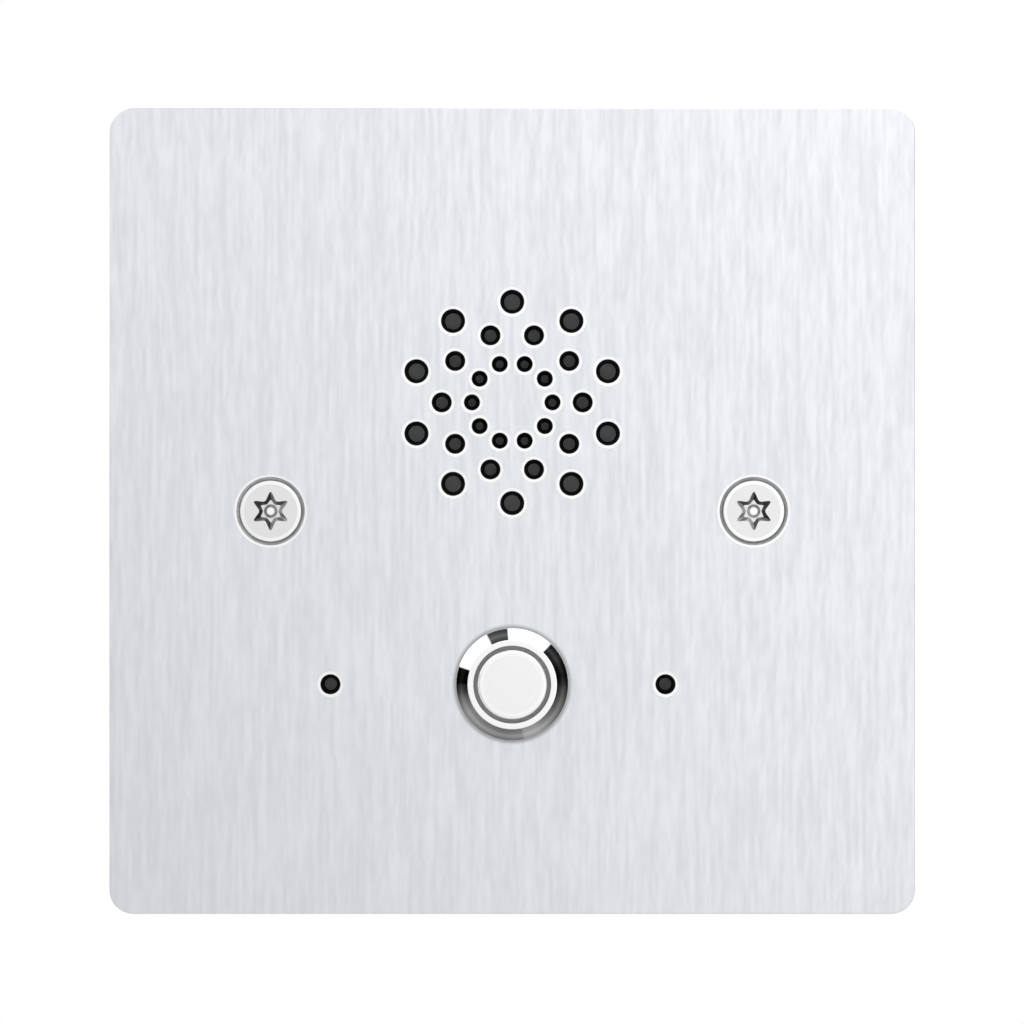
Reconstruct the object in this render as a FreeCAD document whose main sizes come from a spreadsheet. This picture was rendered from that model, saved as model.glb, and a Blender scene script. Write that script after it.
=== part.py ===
import FreeCAD, Part
import math
import os
import Sketcher

# Emergency call panel for a flush wall box: a brushed steel faceplate that carries a loudspeaker, two
# microphones and a metal push button, a circuit board on standoffs behind it and a moulded rear housing.
# The frame is +X to the right and +Z up as the caller sees the panel, and +Y into the wall. The origin lies
# on the wall plane, midway between the two fixing screws. Sizes are in millimetres.

SIZES = {
    # Faceplate
    "plate_width": 100.0,
    "plate_height": 100.0,
    "plate_thickness": 3.0,
    "plate_corner": 3.0,
    "plate_edge": 0.3,
    "screw_spacing": 60.0,
    "screw_hole": 4.5,
    "countersink": 8.6,
    # Sound holes in three rings, and the row of button and microphones under them
    "speaker_height": 13.5,
    "ring_holes": 10,
    "outer_ring": 12.5,
    "outer_hole": 3.0,
    "middle_ring": 8.75,
    "middle_hole": 2.5,
    "inner_ring": 5.0,
    "inner_hole": 2.0,
    "lower_row": -21.5,
    "microphone_spacing": 41.6,
    "microphone_shift": -1.77,
    "microphone_hole": 2.5,
    # Gasket between plate and wall
    "gasket_thickness": 1.0,
    "gasket_inset": 1.0,
    "gasket_band": 7.0,
    "gasket_corner": 2.0,
    # Fixing screws
    "screw_head": 7.6,
    "screw_head_sink": 0.12,
    "screw_seat_gap": 0.03,
    "screw_neck": 3.2,
    "screw_neck_length": 0.7,
    "screw_diameter": 4.0,
    "screw_length": 25.0,
    # Acoustic cloth and speaker seal
    "cloth_thickness": 0.3,
    "speaker_seal_thickness": 1.5,
    "speaker_seal_band": 2.6,
    # Loudspeaker
    "speaker_diameter": 36.0,
    "basket_sheet": 0.6,
    "basket_flange": 2.8,
    "basket_depth": 5.2,
    "basket_hole": 15.8,
    "basket_spokes": 4,
    "spoke_width": 9.0,
    "window_margin": 0.5,
    "surround_thickness": 0.3,
    "surround_width": 2.4,
    "cone_land": 0.6,
    "cone_thickness": 0.35,
    "cone_depth": 3.2,
    "dust_cap_diameter": 15.4,
    "dust_cap_flat": 9.0,
    "dust_cap_rise": 1.6,
    "coil_bore": 12.9,
    "coil_wall": 0.4,
    "coil_length": 4.6,
    "coil_overlap": 0.3,
    "coil_gap": 0.35,
    "fit_gap": 0.02,
    "pole_thickness": 1.2,
    "pole_sink": 0.2,
    "magnet_diameter": 11.8,
    "magnet_thickness": 3.0,
    "yoke_wall": 1.6,
    "yoke_floor": 1.2,
    # Speaker terminals and lead
    "strip_width": 9.0,
    "strip_length": 4.4,
    "strip_thickness": 0.8,
    "strip_gap": 0.3,
    "tag_spacing": 5.0,
    "tag_width": 2.0,
    "tag_length": 2.4,
    "tag_thickness": 0.4,
    "lead_width": 7.0,
    "lead_thickness": 0.6,
    "lead_overhang": 2.0,
    "lead_bend": 2.4,
    # Speaker clamps
    "clamp_reach": 3.5,
    "clamp_grip": 1.7,
    "clamp_stud_offset": 3.0,
    "clamp_width": 6.0,
    "clamp_sheet": 0.8,
    "clamp_angle": 36.0,
    # Studs, nuts, standoffs and housing screws
    "stud_diameter": 3.0,
    "thread_gap": 0.05,
    "clearance_hole": 3.3,
    "nut_flats": 5.5,
    "nut_thickness": 2.4,
    "stud_past_nut": 0.5,
    "standoff_spacing_x": 55.0,
    "standoff_spacing_z": 55.0,
    "standoff_length": 14.5,
    "standoff_bore_depth": 7.5,
    "housing_screw_head": 5.6,
    "housing_screw_head_height": 1.8,
    "housing_screw_length": 20.0,
    # Circuit board
    "board_thickness": 1.6,
    "board_gap": 0.5,
    # Microphones
    "capsule_diameter": 6.0,
    "capsule_height": 5.0,
    "boot_diameter": 8.4,
    "boot_gap": 0.1,
    "boot_to_board": 0.3,
    "microphone_cloth": 6.0,
    # Button body
    "bezel_diameter": 14.1,
    "button_seal_thickness": 0.3,
    "button_seal_inset": 0.3,
    "bezel_height": 2.0,
    "bezel_bevel": 1.55,
    "bezel_mouth": 9.6,
    "bezel_lip": 1.6,
    "barrel_diameter": 12.0,
    "barrel_bore": 10.4,
    "barrel_length": 12.0,
    "barrel_gap": 0.1,
    "button_seal_gap": 0.05,
    "washer_diameter": 16.6,
    "washer_thickness": 0.8,
    "barrel_nut_flats": 14.0,
    "barrel_nut_thickness": 2.5,
    # Button cap and what moves with it
    "cap_diameter": 8.6,
    "cap_proud": 0.8,
    "cap_edge": 0.65,
    "cap_flange_length": 2.4,
    "cap_stop_gap": 0.05,
    "slide_gap": 0.06,
    "plunger_seal_width": 1.0,
    "plunger_seal_depth": 0.7,
    "plunger_seal_gap": 0.03,
    "plunger_diameter": 3.4,
    "plunger_tip": 1.4,
    "plunger_tip_length": 0.2,
    "button_travel": 1.2,
    "contact_width": 2.0,
    "contact_length": 6.6,
    "contact_thickness": 0.4,
    "contact_stop_gap": 0.05,
    # Switch base, its pins and the return spring
    "base_front_gap": 8.5,
    "base_rim": 0.8,
    "pin_spacing": 5.0,
    "pin_width": 1.2,
    "pin_thickness": 0.6,
    "pin_proud": 0.4,
    "pin_gap": 0.05,
    "pin_past_board": 1.0,
    "spring_diameter": 8.4,
    "spring_wire": 0.45,
    "spring_turns": 3.5,
    "spring_end_gap": 0.05,
    # Rear housing and its seal
    "housing_width": 70.0,
    "housing_height": 70.0,
    "housing_wall": 2.0,
    "board_to_housing": 12.4,
    "housing_corner": 2.0,
    "housing_back_edge": 1.5,
    "housing_seal_thickness": 0.8,
    "lug_recess_floor": 25.5,
    "lug_recess_height": 18.0,
    "boss_diameter": 8.0,
    "counterbore": 6.4,
    "counterbore_depth": 2.4,
    "rib_thickness": 1.2,
    "rib_height": 1.4,
    "rib_spacing": 14.0,
    "window_gap": 0.5,
    "window_edge": 0.6,
    # Network jack
    "jack_x": 0.0,
    "jack_z": 14.0,
    "jack_width": 15.6,
    "jack_height": 13.4,
    "jack_depth": 13.0,
    "jack_cavity_width": 11.9,
    "jack_cavity_height": 6.9,
    "jack_cavity_depth": 11.5,
    "jack_cavity_rise": 2.4,
    "latch_width": 6.4,
    "latch_height": 1.6,
    "latch_slot_width": 3.4,
    "latch_slot_height": 1.2,
    "shield_sheet": 0.25,
    "shield_gap": 0.02,
    "jack_contacts": 8,
    "jack_contact_pitch": 1.02,
    "jack_contact_wire": 0.4,
    "jack_contact_lift": 1.5,
    "jack_contact_gap": 0.02,
    "jack_contact_inset": 1.2,
    # Parts on the back of the board
    "processor_x": -14.0,
    "processor_z": -9.0,
    "processor_side": 10.0,
    "processor_thickness": 1.2,
    "amplifier_x": 14.0,
    "amplifier_z": -9.0,
    "amplifier_width": 6.0,
    "amplifier_height": 5.0,
    "amplifier_thickness": 1.6,
    "network_transformer_x": 0.0,
    "network_transformer_z": 1.4,
    "network_transformer_width": 12.8,
    "network_transformer_height": 7.2,
    "network_transformer_thickness": 4.6,
    "inductor_x": 16.5,
    "inductor_z": 17.0,
    "inductor_side": 7.2,
    "inductor_thickness": 3.4,
    "capacitor_x": -16.0,
    "capacitor_z": 14.0,
    "capacitor_diameter": 6.3,
    "capacitor_height": 7.7,
    "capacitor_foot": 6.6,
    "capacitor_foot_height": 1.0,
    "capacitor_spacing": 8.4,
    "crystal_x": -14.0,
    "crystal_z": -21.0,
    "crystal_corner": 1.4,
    "crystal_length": 7.6,
    "crystal_width": 3.4,
    "crystal_height": 2.4,
    "part_edge": 0.4,
}

doc = FreeCAD.newDocument("call_panel")
sheet = doc.addObject("Spreadsheet::Sheet", "Sizes")
for row, (alias, size) in enumerate(SIZES.items(), 1):
    sheet.set(f"A{row}", alias)
    sheet.set(f"B{row}", str(size))
    sheet.setAlias(f"B{row}", alias)
doc.recompute()

# Depths of the main planes, as expressions on the sheet, from the front to the back
PLATE_BACK = "(0 - Sizes.gasket_thickness)"
PLATE_FRONT = f"({PLATE_BACK} - Sizes.plate_thickness)"
CLOTH_BACK = f"({PLATE_BACK} + Sizes.cloth_thickness)"
SPEAKER_FRONT = f"({CLOTH_BACK} + Sizes.speaker_seal_thickness)"
FLANGE_FRONT = f"({SPEAKER_FRONT} + Sizes.surround_thickness)"
FLANGE_BACK = f"({FLANGE_FRONT} + Sizes.basket_sheet)"
BASKET_INSIDE = f"({SPEAKER_FRONT} + Sizes.basket_depth)"
BASKET_BACK = f"({BASKET_INSIDE} + Sizes.basket_sheet)"
POLE_FRONT = f"({BASKET_BACK} + Sizes.pole_sink)"
POLE_BACK = f"({POLE_FRONT} + Sizes.pole_thickness)"
YOKE_INSIDE = f"({POLE_BACK} + Sizes.magnet_thickness)"
BOARD_FRONT = f"({PLATE_BACK} + Sizes.standoff_length)"
BOARD_BACK = f"({BOARD_FRONT} + Sizes.board_thickness)"
HOUSING_INSIDE = f"({BOARD_BACK} + Sizes.board_to_housing)"
HOUSING_BACK = f"({HOUSING_INSIDE} + Sizes.housing_wall)"
HOUSING_RIM = f"({PLATE_BACK} + Sizes.housing_seal_thickness)"
SCREW_SEAT = f"({HOUSING_BACK} - Sizes.counterbore_depth)"
BEZEL_BACK = f"({PLATE_FRONT} - Sizes.button_seal_thickness)"
BEZEL_FRONT = f"({PLATE_FRONT} - Sizes.bezel_height)"
LIP_BACK = f"({BEZEL_FRONT} + Sizes.bezel_lip)"
CAP_FRONT = f"({BEZEL_FRONT} - Sizes.cap_proud)"
FLANGE_STOP = f"({LIP_BACK} + Sizes.cap_stop_gap)"
CAP_BACK = f"({FLANGE_STOP} + Sizes.cap_flange_length)"
BASE_FRONT = f"({PLATE_FRONT} + Sizes.base_front_gap)"
PIN_FRONT = f"({BASE_FRONT} - Sizes.pin_proud)"
CONTACT_BACK = f"({PIN_FRONT} - Sizes.button_travel - Sizes.contact_stop_gap)"
CONTACT_FRONT = f"({CONTACT_BACK} - Sizes.contact_thickness)"

# Places of repeated pieces
SCREW_X = "(Sizes.screw_spacing / 2)"
MICROPHONE_RIGHT = "(Sizes.microphone_shift + Sizes.microphone_spacing / 2)"
MICROPHONE_LEFT = "(Sizes.microphone_shift - Sizes.microphone_spacing / 2)"
CORNER_X = "(Sizes.standoff_spacing_x / 2)"
CORNER_Z = "(Sizes.standoff_spacing_z / 2)"
CLAMP_STUD = "(Sizes.speaker_diameter / 2 + Sizes.clamp_stud_offset)"
MOUTH = "(Sizes.speaker_diameter / 2 - Sizes.basket_flange)"
CONE_RIM = f"({MOUTH} - Sizes.surround_width)"
YOKE_BORE = "(Sizes.coil_bore / 2 + Sizes.coil_wall + Sizes.coil_gap)"
YOKE_OUTSIDE = f"({YOKE_BORE} + Sizes.yoke_wall)"

nodes = []


def number(expression):
    """The present value of an expression on the sheet."""
    value = sheet.evalExpression(expression)
    return float(getattr(value, "Value", value))


def new_body(name, x="0", z="0", node=True):
    """A body whose own XY and YZ planes meet on the piece's axis, with y = 0 on the wall plane."""
    body = doc.addObject("PartDesign::Body", name)
    body.Label = name
    body.setExpression("Placement.Base.x", x)
    body.setExpression("Placement.Base.z", z)
    if node:
        nodes.append(body)
    return body


def origin_plane(body, role):
    """One of the body's own origin planes or axes."""
    return next(item for item in body.Origin.OriginFeatures if item.Role == role)


def new_sketch(body, name, role):
    """An empty sketch on one of the body's origin planes."""
    sketch = body.newObject("Sketcher::SketchObject", name)
    sketch.AttachmentSupport = [(origin_plane(body, role), "")]
    sketch.MapMode = "FlatFace"
    return sketch


def front_sketch(body, name, depth, x="0", z="0"):
    """A sketch parallel to the faceplate at a depth, its x and y along the panel's X and Z."""
    sketch = new_sketch(body, name, "XZ_Plane")
    sketch.setExpression("AttachmentOffset.Base.x", x)
    sketch.setExpression("AttachmentOffset.Base.y", z)
    sketch.setExpression("AttachmentOffset.Base.z", f"0 - ({depth})")
    return sketch


def pin_point(sketch, edge, end, point, label):
    """Bind one end of a sketch edge to a pair of expressions."""
    for kind, expression in (("DistanceX", point[0]), ("DistanceY", point[1])):
        rule = Sketcher.Constraint(kind, -1, 1, edge, end, number(expression))
        index = sketch.addConstraint(rule)
        sketch.renameConstraint(index, f"{kind}_{label}")
        sketch.setExpression(f"Constraints.{kind}_{label}", expression)


def draw_circle(sketch, diameter, x="0", z="0"):
    """A circle bound to a diameter and a place."""
    centre = FreeCAD.Vector(number(x), number(z), 0)
    upright = FreeCAD.Vector(0, 0, 1)
    edge = sketch.addGeometry(Part.Circle(centre, upright, number(diameter) / 2))
    index = sketch.addConstraint(Sketcher.Constraint("Diameter", edge, number(diameter)))
    sketch.renameConstraint(index, f"diameter_{edge}")
    sketch.setExpression(f"Constraints.diameter_{edge}", diameter)
    pin_point(sketch, edge, 3, (x, z), f"centre_{edge}")


def arc_between(start, end, radius, clockwise):
    """The short arc from start to end, and which of its ends is the start."""
    chord = end - start
    half = chord.Length / 2
    inward = FreeCAD.Vector(-chord.y, chord.x, 0).normalize() * (-1 if clockwise else 1)
    centre = start + chord * 0.5 + inward * math.sqrt(max(radius**2 - half**2, 0))
    circle = Part.Circle(centre, FreeCAD.Vector(0, 0, 1), radius)
    first, last = (end, start) if clockwise else (start, end)
    angles = [math.atan2(p.y - centre.y, p.x - centre.x) for p in (first, last)]
    return Part.ArcOfCircle(circle, *angles), (2, 1) if clockwise else (1, 2)


def draw_outline(sketch, points):
    """A closed outline through points given as pairs of expressions.

    A third item in a point makes the stretch to the next point an arc of that radius. It turns
    anticlockwise, or clockwise where a fourth item says so.
    """
    spots = [FreeCAD.Vector(number(point[0]), number(point[1]), 0) for point in points]
    edges = []
    for here, point in enumerate(points):
        start, end = spots[here], spots[(here + 1) % len(points)]
        if len(point) > 2:
            arc, ends = arc_between(start, end, number(point[2]), len(point) > 3)
            edges.append((sketch.addGeometry(arc), ends))
        else:
            edges.append((sketch.addGeometry(Part.LineSegment(start, end)), (1, 2)))
    for here, point in enumerate(points):
        (edge, ends), (before, before_ends) = edges[here], edges[here - 1]
        sketch.addConstraint(Sketcher.Constraint("Coincident", before, before_ends[1], edge, ends[0]))
        pin_point(sketch, edge, ends[0], point, f"point_{edge}")
        if len(point) > 2:
            index = sketch.addConstraint(Sketcher.Constraint("Radius", edge, number(point[2])))
            sketch.renameConstraint(index, f"radius_{edge}")
            sketch.setExpression(f"Constraints.radius_{edge}", point[2])


def rounded(corners):
    """The points of an outline of upright and level sides, with arcs at the corners that have a radius."""
    spots = [(number(corner[0]), number(corner[1])) for corner in corners]
    points = []
    for here, corner in enumerate(corners):
        if len(corner) == 2:
            points.append(corner)
            continue
        x, z, radius = corner
        before, spot, after = spots[here - 1], spots[here], spots[(here + 1) % len(spots)]
        come = (spot[0] - before[0], spot[1] - before[1])
        leave = (after[0] - spot[0], after[1] - spot[1])
        ends = []
        for way, sign in ((come, -1), (leave, 1)):
            along_x = abs(way[0]) > abs(way[1])
            side = math.copysign(1, way[0] if along_x else way[1]) * sign
            shift = f"{'+' if side > 0 else '-'} {radius}"
            ends.append((f"{x} {shift}", z) if along_x else (x, f"{z} {shift}"))
        clockwise = come[0] * leave[1] - come[1] * leave[0] < 0
        points.append((*ends[0], radius, "clockwise") if clockwise else (*ends[0], radius))
        points.append(ends[1])
    return points


def draw_rectangle(sketch, width, height, corner=None, x="0", z="0"):
    """A rectangle about a centre, with rounded corners where a radius is given."""
    sides = [f"{x} - ({width}) / 2", f"{x} + ({width}) / 2"]
    levels = [f"{z} - ({height}) / 2", f"{z} + ({height}) / 2"]
    corners = [(sides[0], levels[0]), (sides[1], levels[0]), (sides[1], levels[1]), (sides[0], levels[1])]
    if corner is None:
        draw_outline(sketch, corners)
    else:
        draw_outline(sketch, rounded([(*spot, corner) for spot in corners]))


def draw_hexagon(sketch, flats, x="0", z="0"):
    """A hexagon across flats, with two flats at the left and right."""
    reach = f"({flats}) / sqrt(3)"
    points = []
    for step in range(6):
        turn_to = f"{30 + 60 * step} deg"
        points.append((f"{x} + {reach} * cos({turn_to})", f"{z} + {reach} * sin({turn_to})"))
    draw_outline(sketch, points)


def pad(body, sketch, name, length):
    """Material from the sketch into the wall's direction."""
    feature = body.newObject("PartDesign::Pad", name)
    feature.Profile = sketch
    feature.Reversed = True
    feature.setExpression("Length", length)
    return feature


def pocket(body, sketch, name, length=None):
    """A cut from the sketch into the wall's direction, right through where no length is given."""
    feature = body.newObject("PartDesign::Pocket", name)
    feature.Profile = sketch
    if length is None:
        feature.Type = "ThroughAll"
    else:
        feature.setExpression("Length", length)
    return feature


def centred_pad(body, sketch, name, length):
    """Material to both sides of the sketch."""
    feature = body.newObject("PartDesign::Pad", name)
    feature.Profile = sketch
    feature.SideType = "Symmetric"
    feature.setExpression("Length", length)
    return feature


def turn(body, points, name="turned"):
    """A solid of revolution about the piece's axis, from points of radius and depth."""
    sketch = new_sketch(body, f"{name}_profile", "XY_Plane")
    draw_outline(sketch, points)
    feature = body.newObject("PartDesign::Revolution", name)
    feature.Profile = sketch
    feature.ReferenceAxis = (sketch, ["V_Axis"])
    feature.Angle = 360
    return feature


def ring_pattern(body, feature, axis_sketch, name, count):
    """Copies of a feature about the middle of the sketch that it was made from."""
    pattern = body.newObject("PartDesign::PolarPattern", name)
    pattern.Originals = [feature]
    pattern.Axis = (axis_sketch, ["N_Axis"])
    pattern.Angle = 360
    pattern.setExpression("Occurrences", count)
    body.Tip = pattern
    return pattern


def dress(body, name, size, wanted):
    """A chamfer on the edges of the body's last feature that pass a test."""
    doc.recompute()
    last = body.Tip
    names = [f"Edge{i}" for i, edge in enumerate(last.Shape.Edges, 1) if wanted(edge)]
    feature = body.newObject("PartDesign::Chamfer", name)
    feature.Base = (last, names)
    feature.setExpression("Size", size)
    return feature


def is_rim(edge, depth, diameter):
    """Whether an edge is a full circle at a depth with a diameter."""
    if not isinstance(edge.Curve, Part.Circle) or len(edge.Vertexes) != 1:
        return False
    fits = abs(2 * edge.Curve.Radius - number(diameter)) < 0.001
    return fits and abs(edge.Curve.Center.y - number(depth)) < 0.001


def in_plane(edge, depth):
    """Whether a whole edge lies at a depth."""
    box = edge.BoundBox
    return abs(box.YMin - number(depth)) < 0.001 and abs(box.YMax - number(depth)) < 0.001


def is_outside(edge, depth):
    """Whether an edge at a depth belongs to the outline, not to a round hole."""
    return len(edge.Vertexes) == 2 and in_plane(edge, depth)


def group(name, first, places, turns=None):
    """One node of equal pieces: the first, and a link to it at each further place or turn."""
    members = [first]
    for index, (x, z) in enumerate(places):
        link = doc.addObject("App::Link", f"{first.Name}_{index + 2}")
        link.LinkedObject = first
        if turns:
            spin = FreeCAD.Rotation(FreeCAD.Vector(0, 1, 0), 1)
            link.Placement = FreeCAD.Placement(FreeCAD.Vector(), spin)
            link.setExpression("Placement.Rotation.Angle", turns[index])
        link.setExpression("Placement.Base.x", x)
        link.setExpression("Placement.Base.z", z)
        members.append(link)
    compound = doc.addObject("Part::Compound", name)
    compound.Label = name
    compound.Links = members
    nodes.append(compound)
    return compound


def corner_places():
    """The four corners, with the upper right one first."""
    left, low = f"0 - {CORNER_X}", f"0 - {CORNER_Z}"
    return [(CORNER_X, CORNER_Z), (left, CORNER_Z), (left, low), (CORNER_X, low)]


def both_clamps(name, first):
    """A clamp's piece at the speaker's upper right, and its equal straight across the speaker."""
    first.Placement.Rotation = FreeCAD.Rotation(FreeCAD.Vector(0, 1, 0), 1)
    first.setExpression("Placement.Rotation.Angle", "(360 - Sizes.clamp_angle) * 1 deg")
    return group(name, first, [("0", "Sizes.speaker_height")], ["(180 - Sizes.clamp_angle) * 1 deg"])


def make_faceplate():
    body = new_body("faceplate")
    blank = front_sketch(body, "plate_outline", PLATE_FRONT)
    draw_rectangle(blank, "Sizes.plate_width", "Sizes.plate_height", "Sizes.plate_corner")
    pad(body, blank, "plate", "Sizes.plate_thickness")
    # The outer ring starts straight above the middle, the other two at its right
    for ring, x, z in (
        ("outer", "0", "Sizes.outer_ring"),
        ("middle", "Sizes.middle_ring", "0"),
        ("inner", "Sizes.inner_ring", "0"),
    ):
        hole = front_sketch(body, f"{ring}_sound_hole", PLATE_FRONT, z="Sizes.speaker_height")
        draw_circle(hole, f"Sizes.{ring}_hole", x, z)
        cut = pocket(body, hole, f"{ring}_sound_hole_cut")
        ring_pattern(body, cut, hole, f"{ring}_sound_holes", "Sizes.ring_holes")
    holes = front_sketch(body, "control_holes", PLATE_FRONT)
    for x in (SCREW_X, f"0 - {SCREW_X}"):
        draw_circle(holes, "Sizes.screw_hole", x)
    for x in (MICROPHONE_RIGHT, MICROPHONE_LEFT):
        draw_circle(holes, "Sizes.microphone_hole", x, "Sizes.lower_row")
    draw_circle(holes, "Sizes.barrel_diameter + 2 * Sizes.barrel_gap", z="Sizes.lower_row")
    pocket(body, holes, "control_hole_cuts")
    cone = "(Sizes.countersink - Sizes.screw_hole) / 2"
    dress(body, "countersinks", cone, lambda edge: is_rim(edge, PLATE_FRONT, "Sizes.screw_hole"))
    dress(body, "front_edge", "Sizes.plate_edge", lambda edge: is_outside(edge, PLATE_FRONT))


def make_wall_gasket():
    body = new_body("wall_gasket")
    ring = front_sketch(body, "gasket_outline", PLATE_BACK)
    outer = [f"Sizes.plate_{side} - 2 * Sizes.gasket_inset" for side in ("width", "height")]
    draw_rectangle(ring, *outer, "Sizes.gasket_corner")
    draw_rectangle(ring, *[f"{size} - 2 * Sizes.gasket_band" for size in outer])
    pad(body, ring, "gasket", "Sizes.gasket_thickness")


def make_fixing_screws():
    """Countersunk screws, necked down where they pass the plate."""
    body = new_body("fixing_screw", x=SCREW_X, node=False)
    top = f"({PLATE_FRONT} + Sizes.screw_head_sink)"
    # Where the head's cone, lying on the countersink's cone, would come to a point
    apex = f"({PLATE_FRONT} + Sizes.countersink / 2 - Sizes.screw_seat_gap)"
    shank = f"({PLATE_BACK} + Sizes.screw_neck_length)"
    tip = f"({top} + Sizes.screw_length)"
    turn(body, [
        ("0", top),
        ("Sizes.screw_head / 2", top),
        ("Sizes.screw_head / 2", f"{apex} - Sizes.screw_head / 2"),
        ("Sizes.screw_neck / 2", f"{apex} - Sizes.screw_neck / 2"),
        ("Sizes.screw_neck / 2", shank),
        ("Sizes.screw_diameter / 2", shank),
        ("Sizes.screw_diameter / 2", tip),
        ("0", tip),
    ])
    group("fixing_screws", body, [(f"0 - {SCREW_X}", "0")])


def make_cloths():
    """Black acoustic cloth on the back of the plate, behind the sound and microphone holes."""
    body = new_body("speaker_cloth", z="Sizes.speaker_height")
    disc = front_sketch(body, "speaker_cloth_outline", PLATE_BACK)
    draw_circle(disc, "Sizes.speaker_diameter")
    pad(body, disc, "speaker_cloth_disc", "Sizes.cloth_thickness")
    body = new_body("microphone_cloth", MICROPHONE_RIGHT, "Sizes.lower_row", node=False)
    disc = front_sketch(body, "microphone_cloth_outline", PLATE_BACK)
    draw_rectangle(disc, "Sizes.microphone_cloth", "Sizes.microphone_cloth")
    pad(body, disc, "microphone_cloth_patch", "Sizes.cloth_thickness")
    group("microphone_cloths", body, [(MICROPHONE_LEFT, "Sizes.lower_row")])


def make_speaker_seal():
    body = new_body("speaker_seal", z="Sizes.speaker_height")
    ring = front_sketch(body, "speaker_seal_outline", CLOTH_BACK)
    draw_circle(ring, "Sizes.speaker_diameter")
    draw_circle(ring, "Sizes.speaker_diameter - 2 * Sizes.speaker_seal_band")
    pad(body, ring, "speaker_seal_ring", "Sizes.speaker_seal_thickness")


def make_speaker_basket():
    """A drawn basket: flange, wall, and a floor with windows between its spokes and the motor's seat."""
    body = new_body("speaker_basket", z="Sizes.speaker_height")
    turn(body, [
        (MOUTH, FLANGE_FRONT),
        ("Sizes.speaker_diameter / 2", FLANGE_FRONT),
        ("Sizes.speaker_diameter / 2", FLANGE_BACK),
        (f"{MOUTH} + Sizes.basket_sheet", FLANGE_BACK),
        (f"{MOUTH} + Sizes.basket_sheet", BASKET_BACK),
        ("Sizes.basket_hole / 2", BASKET_BACK),
        ("Sizes.basket_hole / 2", BASKET_INSIDE),
        (MOUTH, BASKET_INSIDE),
    ])
    inner = f"({YOKE_OUTSIDE} + Sizes.window_margin)"
    outer = f"({MOUTH} - Sizes.window_margin)"
    first = f"asin(Sizes.spoke_width / 2 / {MOUTH})"
    last = f"(360 deg / Sizes.basket_spokes - {first})"
    window = front_sketch(body, "basket_window", BASKET_INSIDE)
    draw_outline(window, [
        (f"{inner} * cos({first})", f"{inner} * sin({first})"),
        (f"{outer} * cos({first})", f"{outer} * sin({first})", outer),
        (f"{outer} * cos({last})", f"{outer} * sin({last})"),
        (f"{inner} * cos({last})", f"{inner} * sin({last})", inner, "clockwise"),
    ])
    cut = pocket(body, window, "basket_window_cut")
    ring_pattern(body, cut, window, "basket_windows", "Sizes.basket_spokes")


def make_speaker_surround():
    """The flat cloth edge that the cone hangs on, glued to the flange and to the cone's rim."""
    body = new_body("speaker_surround", z="Sizes.speaker_height")
    ring = front_sketch(body, "surround_outline", SPEAKER_FRONT)
    draw_circle(ring, "Sizes.speaker_diameter")
    draw_circle(ring, f"2 * ({CONE_RIM} - Sizes.cone_land)")
    pad(body, ring, "surround_ring", "Sizes.surround_thickness")


def make_speaker_cone():
    """The cone, its dust cap and the voice coil in its neck."""
    foot = f"({CONE_RIM} - Sizes.cone_land)"
    neck = "(Sizes.coil_bore / 2 + Sizes.coil_wall + Sizes.fit_gap)"
    neck_front = f"({FLANGE_FRONT} + Sizes.cone_depth)"
    body = new_body("speaker_cone", z="Sizes.speaker_height")
    turn(body, [
        (foot, FLANGE_FRONT),
        (CONE_RIM, FLANGE_FRONT),
        (neck, f"{neck_front} + Sizes.cone_thickness"),
        (neck, neck_front),
    ])
    body = new_body("dust_cap", z="Sizes.speaker_height")
    edge = "(Sizes.dust_cap_diameter / 2)"
    # The cap's rim stands on the sloping front of the cone
    slope = f"(Sizes.cone_depth / ({foot} - {neck}))"
    seat = f"({FLANGE_FRONT} + ({foot} - {edge}) * {slope} - Sizes.fit_gap)"
    turn(body, [
        ("0", f"{seat} - Sizes.dust_cap_rise"),
        ("Sizes.dust_cap_flat / 2", f"{seat} - Sizes.dust_cap_rise"),
        (edge, seat),
        ("0", seat),
    ])
    body = new_body("voice_coil", z="Sizes.speaker_height")
    coil = front_sketch(body, "coil_outline", f"{neck_front} - Sizes.coil_overlap")
    draw_circle(coil, "Sizes.coil_bore + 2 * Sizes.coil_wall")
    draw_circle(coil, "Sizes.coil_bore")
    pad(body, coil, "coil", "Sizes.coil_length")


def make_speaker_motor():
    """The pole plate on the magnet inside the yoke's pot, with the coil's gap round them."""
    for name, diameter, depth, length in (
        ("pole_plate", "Sizes.coil_bore - 2 * Sizes.coil_gap", POLE_FRONT, "Sizes.pole_thickness"),
        ("magnet", "Sizes.magnet_diameter", POLE_BACK, "Sizes.magnet_thickness"),
    ):
        body = new_body(name, z="Sizes.speaker_height")
        disc = front_sketch(body, f"{name}_outline", depth)
        draw_circle(disc, diameter)
        pad(body, disc, f"{name}_disc", length)
    body = new_body("yoke", z="Sizes.speaker_height")
    turn(body, [
        ("0", YOKE_INSIDE),
        (YOKE_BORE, YOKE_INSIDE),
        (YOKE_BORE, BASKET_BACK),
        (YOKE_OUTSIDE, BASKET_BACK),
        (YOKE_OUTSIDE, f"{YOKE_INSIDE} + Sizes.yoke_floor"),
        ("0", f"{YOKE_INSIDE} + Sizes.yoke_floor"),
    ])


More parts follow.
